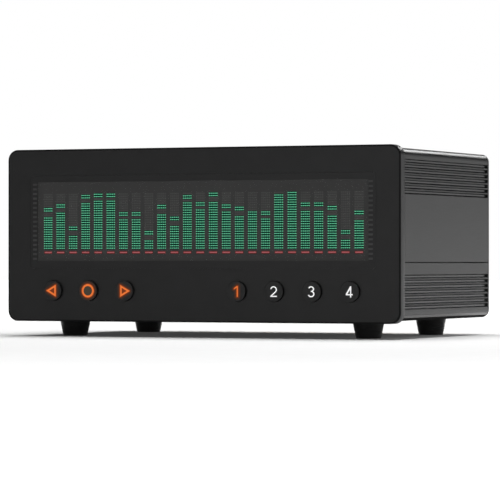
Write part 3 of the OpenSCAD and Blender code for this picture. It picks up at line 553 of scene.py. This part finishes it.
def round_corners(points, radii, steps=3, shoulder=0.0):
    """Closed line whose corners give way to arcs. For a corner with unit directions u and v to its
    neighbours and an angle t between them, the arc's middle lies along u + v at radius / sin(t / 2), and
    the arc runs between the points at radius / tan(t / 2) along u and v. A corner of no radius stays one
    point. A shoulder is one more point on the straight line before and after each arc, so that smooth
    shading stays close to the arc."""
    back = unit(np.roll(points, 1, 0) - points)
    ahead = unit(np.roll(points, -1, 0) - points)
    half = np.arccos(np.clip((back * ahead).sum(1), -1, 1)) / 2
    radii = np.asarray(radii, float)
    middle = points + unit(back + ahead) * (radii / np.sin(half))[:, None]
    start = points + back * (radii / np.tan(half))[:, None] - middle
    end = points + ahead * (radii / np.tan(half))[:, None] - middle
    angle = np.maximum(np.pi - 2 * half, 1e-6)[:, None, None]
    share = np.linspace(0, 1, steps)[None, :, None]
    arcs = np.sin((1 - share) * angle) * start[:, None] + np.sin(share * angle) * end[:, None]
    arcs = middle[:, None] + arcs / np.sin(angle)
    if shoulder:
        before = arcs[:, :1] + shoulder * back[:, None]
        after = arcs[:, -1:] + shoulder * ahead[:, None]
        arcs = np.concatenate([before, arcs, after], axis=1)
    kept = (radii[:, None] > 0) | (np.arange(arcs.shape[1])[None] == 0)
    arcs[radii == 0, 0] = points[radii == 0]
    return arcs[kept]


square = np.array([[1.0, 1.0], [-1.0, 1.0], [-1.0, -1.0], [1.0, -1.0]])
print("a square with rounded corners has", len(round_corners(square, np.full(4, 0.2))), "points")

# %% [markdown]
# ## Glow round the marks
# Light that comes through an orange mark also spreads in the cap's skin, so the cap glows faintly round it
# and inside the ring. Two thin plates with the mark's outline, one grown a little and one more, lie between
# the cap's face and the mark, and the ring has a dim disc inside it as well.

# %% Glow round the marks
near_glow = glowing("glow_near", (0.012, 0.009, 0.008), (0.014, 0.01, 0.009), (0.17, 0.032, 0.008))
ring_glow = glowing("glow_ring", (0.012, 0.009, 0.008), (0.014, 0.01, 0.009), (0.05, 0.042, 0.03))
far_glow = glowing("glow_far", (0.01, 0.009, 0.009), (0.012, 0.01, 0.01), (0.04, 0.02, 0.013))
arrow_length, arrow_height, arrow_back, arrow_round = 4.0, 4.5, 1.5, 1.25
ring_radius, number_stroke, number_half, number_round = 2.5, 0.43, 1.96, 0.9
stem_x, stem_tip, flag_x, flag_top, flag_low, flag_root = 0.54, 0.3, -0.8, 1.1, 0.7, 1.2
# How far the flag's edge rises and its root drops, as shares of the growth.
flag_rise, root_drop = 0.3, 1.2
arrow = np.array([[-arrow_length, 0], [0, -arrow_height / 2], [0, arrow_height / 2]]) + [arrow_back, 0]
slope = np.hypot(arrow_length, arrow_height / 2)
inner_radius = arrow_length * arrow_height / (arrow_height + 2 * slope)
arrow_middle = np.array([arrow_back - inner_radius, 0])
# How far each plate is grown, and its depth as a share of the room under the mark. The last is for the ring.
layer_plan = [(0.4, 1 / 2), (1.05, 3 / 4), (-0.2, 1 / 4)]


def glow_round(mark, grow):
    """Outline of a mark grown all round, as flat points and faces. An arrow is scaled about the middle of
    its inner circle by one plus grow over that circle's radius, and its corners are rounded. A ring becomes
    a disc. The 1 is a stem with its flag, each side moved out by grow and each outer corner rounded."""
    if mark == "1":
        right, left = stem_x + number_stroke / 2 + grow, stem_x - number_stroke / 2 - grow
        top, low, tip = number_half + grow, -number_half - grow, flag_x - grow
        outline = np.array([
            [right, low], [right, top], [stem_x - stem_tip, top], [tip, flag_top + flag_rise * grow],
            [tip, flag_low - grow], [left, flag_root - root_drop * grow], [left, low]])
        outline = round_corners(outline, number_round * grow * np.array([1, 1, 1, 1, 1, 0, 1]), steps=6)
    elif mark == "ring":
        outline = edge_of(circle(13), ring_radius + grow)
    else:
        outline = arrow_middle + (arrow - arrow_middle) * (1 + grow / inner_radius)
        outline = round_corners(outline, np.full(3, arrow_round * grow), steps=6)
        outline *= 1 if mark == "left_arrow" else -1
    points, faces = fill([outline], 0.0)
    return points[:, [0, 2]], faces


cap_front = cap_boxes[0][0][1]
orange_marks = marks[:4]
for mark, spot in zip(orange_marks, cap_places):
    layers = []
    for number, (grow, depth) in enumerate(layer_plan[:3 if mark == "ring" else 2]):
        points, faces = glow_round(mark, grow)
        layers.append((place(points + spot, cap_front + depth * sunk), faces, number))
    make_piece("glow_" + mark, layers, [near_glow, far_glow, ring_glow], body="button_" + mark,
               closed=False)

# %% [markdown]
# ## Marks
# The marks are set into the caps and lit from behind. They keep the outlines that the part gives them, but
# seen beside the caps in the photograph the arrows and most numbers are a little smaller, the ring is a
# touch larger, and the 1 stands further right. So each mark is a copy of the part's own piece, scaled about
# its own middle across the cap and not in depth.

# %% Marks
orange = glowing("legend_orange", (0.12, 0.025, 0.006), (0.14, 0.03, 0.007), (0.74, 0.16, 0.034))
white_mark = glowing("legend_white", (0.4, 0.4, 0.4), (0.44, 0.44, 0.44), (0.68, 0.68, 0.68))
# Width and height as shares of the part's own, and a step to the right.
mark_fits = {
    "left_arrow": (0.94, 0.92, 0.0), "ring": (1.02, 1.02, 0.0), "right_arrow": (0.94, 0.92, 0.0),
    "1": (0.9, 0.89, 0.24), "2": (0.91, 0.89, 0.1), "3": (1.04, 0.91, 0.0), "4": (0.94, 0.92, 0.0),
}
for mark, (wide, high, shift) in mark_fits.items():
    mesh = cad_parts["legend_" + mark].data
    points = np.empty(3 * len(mesh.vertices))
    corners = np.empty(len(mesh.loops), np.int32)
    mesh.vertices.foreach_get("co", points)
    mesh.loops.foreach_get("vertex_index", corners)
    points = points.reshape(-1, 3) / MM
    middle = (points.min(0) + points.max(0)) / 2
    points = middle + (points - middle) * [wide, 1, high] + [shift, 0, 0]
    finish, slot = (orange, "legend_orange") if mark in orange_marks else (white_mark, "legend_white")
    make_piece("mark_" + mark, [(points, corners.reshape(-1, 3))], [finish], body="button_" + mark,
               stands_for=["legend_" + mark])

# %% [markdown]
# ## Case sections
# The case is two aluminium extrusions, so each half is one section carried straight from front to back. The
# section is a closed line: outside with its grooves, the seam, and inside with rails and screw ports. Half
# of it is drawn and will be mirrored. Each corner has the radius of the arc that will take its place, so
# that every groove lip catches the light.


# %% Case sections
def arc(middle, radius, first, last, count=13):
    """Open arc round a middle, from one angle to another, in degrees."""
    angle = np.radians(np.linspace(first, last, count))
    return np.asarray(middle) + radius * np.stack([np.cos(angle), np.sin(angle)], -1)


def grooves(centres):
    """Four corners for each groove in the side wall, one groove after another: the mouth's lower edge, the
    two edges of the narrower bottom, and the mouth's upper edge."""
    xs = side - groove_depth * np.array([0, 1, 1, 0])
    half = np.array([-groove_mouth, -groove_bottom, groove_bottom, groove_mouth]) / 2
    zs = np.asarray(centres)[:, None] + half
    return np.stack(np.broadcast_arrays(xs, zs), -1).reshape(-1, 2)


upper_low, upper_high = box_mm("upper_case")
lower_low, lower_high = box_mm("lower_case")
side, case_top, case_under = upper_high[0], upper_high[2], lower_low[2]
wall, tongue, seam, port_inset, port_radius, port_steps = 2.5, 1.2, 0.35, 5.2, 3.5, 17
groove_count, groove_mouth, groove_bottom, groove_depth = 7, 1.4, 0.8, 0.75
groove_pitch, groove_inset, bottom_edge = 1.88, 4.1, 0.16
case_corner, groove_lip, rim_lip, inner_lip, foot_lip = 3.0, 0.15, 0.15, 0.1, 0.05
rail_reach, rail_thick, rail_play = 3.0, 1.2, 0.2
inside = side - wall
case_middle = (case_top + case_under) / 2
groove_zs = case_top - groove_inset - groove_mouth / 2 - groove_pitch * np.arange(groove_count)[::-1]
lower_rim, tongue_top, upper_rim = upper_low[2] - seam, lower_high[2], upper_low[2]
port_reach = np.sqrt(port_radius**2 - (port_inset - wall) ** 2)
port_turn = np.degrees(np.arctan2(port_reach, port_inset - wall))
port_x, high_port, low_port = side - port_inset, case_top - port_inset, case_under + port_inset

upper_right = np.concatenate([
    arc((port_x, high_port), port_radius, 90 + port_turn, 360 - port_turn, port_steps),
    [[inside, tongue_top], [inside + tongue + snug, tongue_top], [inside + tongue + snug, upper_rim]],
    [[side, upper_rim]], grooves(groove_zs), [[side, case_top]]])
lips = np.full(4 * groove_count, groove_lip)
upper_radii = np.concatenate([np.zeros(port_steps), np.full(3, inner_lip), [rim_lip], lips, [case_corner]])

board_low, board_high = box_mm("main_board")
rail_top = board_high[2] + rail_play
rail_zs = np.array([rail_top + rail_thick, rail_top, board_low[2], board_low[2] - rail_thick])
rails = np.stack([inside - rail_reach * np.tile([0, 1, 1, 0], 2), np.repeat(rail_zs, 2)], -1)
lower_right = np.concatenate([
    [[side, case_under]], grooves(2 * case_middle - groove_zs[::-1]), [[side, lower_rim]],
    [[inside + tongue, lower_rim], [inside + tongue, tongue_top], [inside, tongue_top]], rails,
    arc((port_x, low_port), port_radius, port_turn, 270 - port_turn, port_steps)])
lower_radii = np.concatenate([
    [case_corner], lips, [rim_lip, foot_lip], np.full(2 + len(rails), inner_lip), np.zeros(port_steps)])
print("corners of a right half:", len(upper_right), "above and", len(lower_right), "below")

# %% [markdown]
# ## Case finishes
# Extruding leaves faint lines along the length, so the noise of these finishes is drawn out along that
# axis. The other finishes are lit and shaded copies of that one, picked by which way a face looks: a
# painted sheen on the bottoms of the grooves, and a painted shade on the ridges and the flanks, which draws
# a thin dark line along both sides of each bottom. The photograph shows the flanks that face up in the upper
# half and the seam as the darkest lines, so those get the darkest painted shade. The first part of the turn
# round a lower corner gets a painted highlight that stands for the mirrored ground, a bright line, and the
# rest of that turn the darkest painted shade, a dark line below it.

# %% Case finishes
side_half, groove_near, skin, slack, bottom_depth = 27.5, 0.6 * groove_pitch, 0.02, 0.1, 0.5
corner_near, highlight_from, darkest_shade_from = 0.9 * case_corner, 20, 40


def finish_along(line):
    """Number of the finish of each face along a section, told from the face's middle: its depth under the
    side and its height over the middle of the nearest groove. Bottoms are 1, flanks that face down 2, and
    ridges and flanks that face up 3, but flanks that face up in the upper half are 4, as is the seam, which
    is far from any groove. Round the lower corner, a turn of 20 to 40 degrees below the level is 5, and a
    larger one 4. The rest is 0."""
    across, up = np.abs((line + np.roll(line, -1, 0)) / 2).T
    offset = up[:, None] - np.concatenate([groove_zs, 2 * case_middle - groove_zs])
    offset = np.take_along_axis(offset, np.abs(offset).argmin(1)[:, None], 1)[:, 0]
    on_side = (across > inside + tongue - slack) & (np.abs(up - case_middle) < side_half)
    depth = np.where(on_side, side - across, -1)
    near = np.abs(offset) < groove_near
    bottom = near & (depth > bottom_depth) & (np.abs(offset) < groove_bottom / 2 - bottom_edge)
    flank = near & (depth > skin) & ~bottom
    ridge = near & (np.abs(depth) <= skin)
    out, down = across - side + case_corner, case_under + case_corner - up
    turn = np.degrees(np.arctan2(down, out)) * (np.hypot(out, down) > corner_near) * (out > 0)
    # Faces with the darkest painted shade; the other numbers are a painted sheen (1), painted shade (2, 3)
    # and a painted highlight (5).
    darkest_shade_faces = (~near & (depth > slack)) | (flank & (offset < 0) & (up > case_middle)) | (turn > darkest_shade_from)
    found = [darkest_shade_faces, bottom, flank & (offset > 0), flank | ridge, turn > highlight_from]
    return np.select(found, [4, 1, 2, 3, 5], 0)


def drawn(name, tone, rough, specular):
    """Anodised extrusion with the faint lines of the die along its length."""
    return coated(name, (tone, tone, 1.03 * tone), rough, size=0.25, depth=0.0005, vary=0.06,
                  specular=specular, stretch=(1, 30, 1))


# The first finish is the case's own; the others are lit and shaded copies of it: painted sheen, painted
# shade, darkest painted shade and painted highlight.
case_finishes = [
    drawn("case_black", 0.01, 0.3, 0.305),
    drawn("bottom_painted_sheen", 0.01, 0.26, 0.5),
    drawn("flank_painted_shade", 0.004, 0.4, 0.16),
    drawn("ridge_painted_shade", 0.006, 0.36, 0.28),
    drawn("darkest_painted_shade", 0.002, 0.6, 0.04),
    drawn("corner_painted_highlight", 0.03, 0.18, 0.8),
]
print("finishes of the case:", len(case_finishes))

# %% [markdown]
# ## Case halves
# The seam between the halves stays open as a thin shadow line, because the real halves only touch at a
# tongue inside. Both ends of each half are a touch smaller than its middle, as a deburred saw cut is.


# %% Case halves
def section_line(right, radii):
    """Whole section from its right half, which starts and ends on the middle plane's side: the right half
    and then its mirror image in reverse order, with every corner rounded."""
    line = np.concatenate([right, right[::-1] * [-1, 1]])
    return round_corners(line, np.concatenate([radii, radii[::-1]]), steps=10, shoulder=0.05)


def inwards(line):
    """Unit normals of a closed line that runs anticlockwise: the chord between the neighbours of a point,
    turned by a quarter to the left."""
    chord = np.roll(line, -1, 0) - np.roll(line, 1, 0)
    return unit(np.stack([-chord[:, 1], chord[:, 0]], -1))


case_front, case_back = upper_low[1], upper_high[1]
screw_loop, screw_hole, cut = circle(6), 1.65, 0.04
for name, node, right, radii, port_z in (
    ("upper_shell", "upper_case", upper_right, upper_radii, high_port),
    ("lower_shell", "lower_case", lower_right, lower_radii, low_port),
):
    line = section_line(right, radii)
    stations = np.array([case_front, case_front + cut, case_back - cut, case_back])
    flat = line + inwards(line) * np.array([cut, 0, 0, cut])[:, None, None]
    ports = [(x, port_z) for x in (-port_x, port_x)]
    port_lines = [edge_of(screw_loop, screw_hole, spot) for spot in ports]
    make_piece(name, [
        (*grid(place(flat, stations[:, None])), np.tile(finish_along(line), len(stations) - 1)),
        fill([flat[0], *port_lines], case_front),
        fill([flat[-1], *port_lines], case_back),
        *[carry([[screw_hole, case_front], [screw_hole, case_back]], screw_loop, spot) for spot in ports],
    ], case_finishes, stands_for=[node], sharp=40)

# %% [markdown]
# ## Feet
# The feet are turned from hard black plastic: a cone that narrows downwards, with a rounded lower rim and a
# counterbore for the screw. Turning leaves fine rings, so this noise is drawn out sideways and changes
# quickly only along the height, which spreads a reflection upwards and downwards.

# %% Feet
foot_black = coated("foot_black", (0.005, 0.005, 0.005), 0.3, size=0.3, depth=0.03, stretch=(40, 40, 1))
foot_bore, head_bore, head_floor, chamfer = 1.6, 3.0, 3.65, 0.2
foot_tip, tip_round = 4.7, 0.5
foot_loop = circle(15)
for corner_name in ("front_left", "front_right", "rear_left", "rear_right"):
    low, high = box_mm("foot_" + corner_name)
    spot, height, foot_radius = (low + high)[:2] / 2, high[2], (high - low)[0] / 2
    foot_profile = np.concatenate([
        [[foot_bore, height], [foot_bore, head_floor], [head_bore, head_floor]],
        [[head_bore, chamfer], [head_bore + chamfer, 0.0]],
        fillet(foot_tip, 0, tip_round, -1)[::-1],
        np.array([[-0.08, -0.25], [0, -0.12], [0, 0], [-0.3, 0]]) + [foot_radius, height],
        [[foot_bore, height]],
    ])
    make_piece("foot_pad_" + corner_name, [carry(foot_profile, foot_loop, spot, "z")], [foot_black],
               stands_for=["foot_" + corner_name])

# %% [markdown]
# ## Rear panel
# The back is a thin steel plate with a powder coat, which has a coarser orange-peel grain than anodising.
# Every hole has a slightly rounded rim: four for the tie screws, ten for the jacks, five for the screws
# that hold the jack blocks and one for the power jack.

# %% Rear panel
rear_black = coated("rear_black", (0.012, 0.012, 0.0125), 0.5, size=0.7, depth=0.012, specular=0.45)
rear_size, rear_centre, (rear_front, rear_face) = face_of("rear_panel")
jack_names = ["input_jack_1", "input_jack_2", "input_jack_3", "input_jack_4", "output_jack"]
jack_xs = np.array([face_of(name)[1][0] for name in jack_names])
jack_zs = np.array([face_of(name)[1][1] for name in ("right_channel_rings", "left_channel_rings")])
power_spot = face_of("power_jack_pin")[1]
rear_corner, rear_inset, rear_round = 3.0, 2.7, 0.2
jack_hole, block_hole, power_hole = 5.15, 1.55, 4.15
screw_spots = [(x, z) for x in (-port_x, port_x) for z in (low_port, high_port)]
jack_spots = [(x, z) for x in jack_xs for z in jack_zs]
rear_holes = [(spot, screw_hole) for spot in screw_spots] + [(spot, jack_hole) for spot in jack_spots]
rear_holes += [((x, jack_zs.mean()), block_hole) for x in jack_xs] + [(power_spot, power_hole)]
rear_loop, around = loop_of(*rear_size, rear_corner, 14), circle(9)
rear_edge = np.concatenate([
    [[rear_inset, rear_front], [rear_corner, rear_front]], fillet(rear_corner, rear_face, rear_round, 1)])
hole_rim = np.array([
    [0, rear_front], [0, rear_face - 0.12], [0.04, rear_face - 0.04], [0.12, rear_face], [0.3, rear_face]])
rear_rims = []
front_lines = [edge_of(rear_loop, rear_inset, rear_centre)]
face_lines = [edge_of(rear_loop, rear_edge[-1, 0], rear_centre)]
for spot, radius in rear_holes:
    rim = hole_rim + [radius, 0]
    rear_rims.append(carry(rim, around, spot))
    front_lines.append(edge_of(around, radius, spot))
    face_lines.append(edge_of(around, rim[-1, 0], spot))
make_piece("rear_plate", [
    carry(rear_edge, rear_loop, rear_centre), *rear_rims,
    fill(front_lines, rear_front), fill(face_lines, rear_face),
], [rear_black], stands_for=["rear_panel"])

# %% [markdown]
# ## Printed numbers
# Plain numbers stand above the inputs, as on the front, and an outward arrow stands above the output. Each
# is a line, and a flat ribbon follows it a fiftieth of a millimetre over the plate. Seen from behind, left
# and right change places, so the lines are mirrored.


# %% Printed numbers
def stroke(points, width):
    """Flat ribbon along a line: each point plus and minus half the width along the line's normal there,
    with the corners mitred by the sum of the normals of the two sides."""
    points = np.asarray(points, float)
    run = np.diff(points, axis=0)
    normal = unit(np.stack([-run[:, 1], run[:, 0]], -1))
    both = np.concatenate([normal[:1], normal[:-1] + normal[1:], normal[-1:]])
    both /= (both * np.concatenate([normal[:1], normal])).sum(1, keepdims=True)
    count = len(points)
    here = np.arange(count - 1)
    quads = np.stack([here, here + 1, here + 1 + count, here + count], -1)
    return np.concatenate([points - both * width / 2, points + both * width / 2]), quads


glyphs = {
    "1": [[(-0.7, 1.0), (0.2, 1.7), (0.2, -2.0)]],
    "2": [np.concatenate([arc((0, 0.8), 1.0, 165, -35), [(-1.0, -1.8), (1.1, -1.8)]])],
    "3": [arc((0, 0.88), 0.88, 160, -90), arc((0, -0.95), 0.95, 90, -160)],
    "4": [[(0.5, -2.0), (0.5, 1.6), (-1.2, -0.8), (1.1, -0.8)]],
    "out": [[(-1.6, -1.2), (0, 1.2), (1.6, -1.2)], [(0, 1.0), (0, -2.4)]],
}
ink_white = coated("ink_white", (0.62, 0.62, 0.6), 0.6, size=0.3, depth=0.002)
ink_width, ink_height, number_rise = 0.55, 0.02, 9.2
ink = []
for lines, x in zip(glyphs.values(), jack_xs):
    for line in lines:
        flat, quads = stroke(line, ink_width)
        flat = flat * [-1, 1] + [x, jack_zs[1] + number_rise]
        ink.append((place(flat, rear_face + ink_height), quads))
make_piece("rear_numbers", ink, [ink_white], closed=False)

# %% [markdown]
# ## Jacks
# Each jack is a gold-plated sleeve round a coloured insulating ring, white for left and red for right. The
# sleeve is one profile turned round its axis: out along the wall, over a rounded lip, and back along the
# bore. Plating is a real metal in the shader, with a faint unevenness so that its reflections don't look
# like a mirror.

# %% Jacks
jack_gold = coated("jack_gold", (0.78, 0.52, 0.2), 0.24, size=0.6, depth=0.0008, vary=0.1, metal=1.0)
root, mouth = face_of("jack_sleeves")[2]
sleeve_bore, sleeve_radius, collar_radius, collar_face = 3.4, 4.15, 4.35, rear_face + 1.0
lip_middle, lip_radius = (sleeve_radius + sleeve_bore) / 2, (sleeve_radius - sleeve_bore) / 2
sleeve_profile = np.concatenate([
    [[sleeve_bore, root], [collar_radius, root], [collar_radius, collar_face], [sleeve_radius, collar_face]],
    arc((lip_middle, mouth - lip_radius), lip_radius, 0, 180, 9),
    [[sleeve_bore, root]],
])
sleeve_loop = circle(11)
make_piece("gold_sleeves", [carry(sleeve_profile, sleeve_loop, spot) for spot in jack_spots], [jack_gold],
           stands_for=["jack_sleeves"])

# %% [markdown]
# ## Finishes of the part's own pieces
# The other pieces keep the shape that the part gives them, because nothing about them needs more edge or
# curve. Most are inside and never seen with the case closed, but they get a finish of their own all the
# same: green boards with a coarse grain, amber relays, blue capacitors, pale sockets, bright and blackened
# steel.

# %% Finishes of the part's own pieces
bright_steel = coated("bright_steel", (0.62, 0.63, 0.65), 0.3, size=0.3, depth=0.001, metal=1.0, vary=0.1)
own_finishes = [
    (glass_painted_glow, ["display_glass"]),
    (coated("jack_black", (0.01, 0.01, 0.0105), 0.38, size=0.5, depth=0.003), jack_names + ["power_jack"]),
    (jack_gold, ["jack_contacts"]),
    (coated("black_steel", (0.03, 0.03, 0.032), 0.36, size=0.2, depth=0.002, metal=0.6),
     ["tie_screws", "jack_screws"]),
    (bright_steel, ["display_leads", "board_spacers", "board_screws", "foot_screws", "power_jack_pin"]),
    (coated("plunger_white", (0.7, 0.69, 0.64), 0.45), ["plunger_" + mark for mark in marks]),
    (coated("switch_black", (0.012, 0.012, 0.012), 0.5), ["switch_bodies", "controller_chip"]),
    (coated("lamp_clear", (0.8, 0.72, 0.5), 0.3), ["button_lamps"]),
    (coated("board_green", (0.01, 0.07, 0.03), 0.42, size=0.8, depth=0.01), ["front_board", "main_board"]),
    (coated("foam_pad", (0.015, 0.015, 0.015), 0.95, size=0.5, depth=0.05), ["display_pad"]),
    (coated("relay_amber", (0.55, 0.27, 0.04), 0.3), ["relays"]),
    (coated("capacitor_blue", (0.03, 0.05, 0.16), 0.3), ["capacitors"]),
    (coated("ribbon_grey", (0.4, 0.41, 0.45), 0.5, size=1.2, stretch=(1, 20, 20)), ["ribbon_cable"]),
    (coated("socket_cream", (0.72, 0.68, 0.56), 0.45), ["ribbon_sockets"]),
    (coated("ring_white", (0.75, 0.74, 0.71), 0.4), ["left_channel_rings"]),
    (coated("ring_red", (0.45, 0.012, 0.012), 0.4), ["right_channel_rings"]),
]
for finish, nodes in own_finishes:
    for node in nodes:
        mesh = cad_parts[node].data
        mesh.materials.clear()
        mesh.materials.append(finish)
print("finishes on", sum(len(nodes) for _, nodes in own_finishes), "of the part's own pieces")

# %% [markdown]
# ## Snap domes
# Inside each switch a thin steel dome lies under the button's plunger and gives way with a click. It is a
# cap cut from a hollow ball, turned round the button's axis. It can't move with the button, because its rim
# stays put, so it stays on the case with a mesh of its own. At full travel the real dome keeps a fifth of a
# millimetre of its rise.


# %% Snap domes
def cap_of(ball):
    """Profile of a ball's cap from its rim to its crown. An angle runs down to zero: the radius is the
    ball's times the sine, and the height over the base is the ball's times the cosine, less the depth of
    the ball's middle."""
    angle = np.linspace(np.arccos(middle_depth / ball), 0, 9)
    return np.stack([ball * np.sin(angle), dome_base - (ball * np.cos(angle) - middle_depth)], -1)


dome_crown, dome_base = face_of("switch_domes")[2]
dome_rise = dome_base - dome_crown
dome_radius, dome_sheet, dome_left = 2.3, 0.12, 0.2
dome_ball = (dome_radius**2 + dome_rise**2) / (2 * dome_rise)
middle_depth = dome_ball - dome_rise
outer, inner = cap_of(dome_ball), cap_of(dome_ball - dome_sheet)
dome_loop = circle(8)
for mark, spot in zip(marks, cap_places):
    dome = make_piece("dome_" + mark, [
        carry(outer, dome_loop, spot), carry(np.concatenate([outer[:1], inner]), dome_loop, spot),
    ], [bright_steel], stands_for=["switch_domes"])
    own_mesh(dome)

# %% [markdown]
# ## Lights
# The photograph has a white ground that runs into a white background. A broad light overhead and one from
# the right light the ground. Two narrow lights behind the part draw the bright line along the top corner,
# and a weak one in front gives the front its dark grey, a little lighter to the right.


# %% Lights
def add_light(name, spot, target, size, power):
    """Rectangular light at a spot, in metres, turned towards a target."""
    light = bpy.data.lights.new(name, "AREA")
    light.shape = "RECTANGLE"
    light.size, light.size_y = size
    light.energy = power
    lamp = add_object(name, light)
    lamp.location = spot
    aim(lamp, Vector(target) - Vector(spot))


add_light("light_right", (1.5, 0.3, 0.6), (0.05, 0.0, 0.04), (0.9, 0.9), 5)
add_light("light_top", (0.0, 0.15, 1.3), (0.0, 0.0, 0.0), (1.0, 1.0), 20)
add_light("light_back", (0.22, 1.4, 0.69), (0.0, 0.0, 0.05), (0.42, 0.2), 2.4)
add_light("light_left_back", (-0.48, 1.46, 0.45), (0.0, 0.0, 0.05), (0.6, 0.35), 0.28)
add_light("light_front", (-0.24, -1.27, 0.2), (0.0, 0.0, 0.03), (0.5, 0.4), 0.93)


# %% [markdown]
# ## Ground
# The ground glows by itself away from the part, in two steps: a lower glow where the grooved side mirrors
# it, and the full one far off, so that no horizon shows. Only near the part does it take shadows. The
# length of the Object coordinates tells how far off a point is, and two smooth ramps turn that into a
# strength.


# %% Ground
def combine(tree, operation, first, second):
    """Number made from two others by one operation of the Math node."""
    step = tree.nodes.new("ShaderNodeMath")
    step.operation = operation
    tree.links.new(first, step.inputs[0])
    tree.links.new(second, step.inputs[1])
    return step.outputs["Value"]


ground_lines = np.linspace(-3000, 3000, 7)
ground = place(np.stack(np.meshgrid(ground_lines, ground_lines), -1), 0.0, "z").reshape(-1, 3)
count = len(ground_lines)
cells = np.arange(count - 1)[:, None] * count + np.arange(count - 1)
cells = np.stack([cells, cells + 1, cells + count + 1, cells + count], -1).reshape(-1, 4)
pale, inputs, where = new_finish("pale_ground")
colours(pale, grain(pale, where, 12), (0.85, 0.85, 0.85), (0.87, 0.87, 0.87), inputs["Base Color"])
settle(inputs, {"Roughness": 1, "Specular IOR Level": 0, "Emission Color": (1, 1, 1, 1)})
tree = pale.node_tree
reach = tree.nodes.new("ShaderNodeVectorMath")
reach.operation = "LENGTH"
tree.links.new(where, reach.inputs[0])
near_ground = ramp(tree, reach.outputs["Value"], 0.2, 0.7, 0.04, 0.55)
far_ground = ramp(tree, reach.outputs["Value"], 0.9, 1.8, 0.0, 0.5)
tree.links.new(combine(tree, "ADD", near_ground, far_ground), inputs["Emission Strength"])
floor = make_piece("floor", [(ground, cells)], [pale], body=None, closed=False)
floor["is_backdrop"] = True

# %% [markdown]
# ## Surroundings
# The grooved side is lighter than the front because it mirrors the bright ground and the surroundings
# behind the part, on the right, so the surroundings are bright low down in that direction and dim
# elsewhere. Seen by the camera they are a white backdrop. The Light Path node tells the two cases apart.

# %% Surroundings
world = bpy.data.worlds.new("surroundings")
world.use_nodes = True
tree = world.node_tree
dim = tree.nodes["Background"]
settle(dim.inputs, {"Color": (1, 1, 1, 1)})
direction = tree.nodes.new("ShaderNodeTexCoord").outputs["Generated"]
heading = tree.nodes.new("ShaderNodeSeparateXYZ")
tree.links.new(direction, heading.inputs["Vector"])
strength = ramp(tree, heading.outputs["Z"], 0.2, 0.1, 0.0, 0.78)
for operation, axis, *limits in (
    ("MULTIPLY", "Y", 0.0, 0.5), ("MULTIPLY", "X", 0.1, 0.45), ("ADD", "Y", -0.4, 0.3, 0.06, 0.03),
):
    strength = combine(tree, operation, strength, ramp(tree, heading.outputs[axis], *limits))
tree.links.new(strength, dim.inputs["Strength"])
backdrop = tree.nodes.new("ShaderNodeBackground")
settle(backdrop.inputs, {"Color": (1, 1, 1, 1), "Strength": 1})
path = tree.nodes.new("ShaderNodeLightPath")
chosen = tree.nodes.new("ShaderNodeMixShader")
tree.links.new(path.outputs["Is Camera Ray"], chosen.inputs["Fac"])
tree.links.new(dim.outputs["Background"], chosen.inputs[1])
tree.links.new(backdrop.outputs["Background"], chosen.inputs[2])
tree.links.new(chosen.outputs["Shader"], tree.nodes["World Output"].inputs["Surface"])
bpy.context.scene.world = world
bpy.context.scene.view_settings.view_transform = "Standard"
print("the surroundings have", len(tree.nodes), "nodes")

# %% [markdown]
# ## Finish
# Dressing a part must not change its size, so the box of the dressed part is printed beside the box it had
# at the start.

# %% Sizes and finish
visual_box = [list(corner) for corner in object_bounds()]
for name, box in (("part", cad_box), ("dressed", visual_box)):
    print(name, np.round(np.subtract(*box[::-1]), 4))
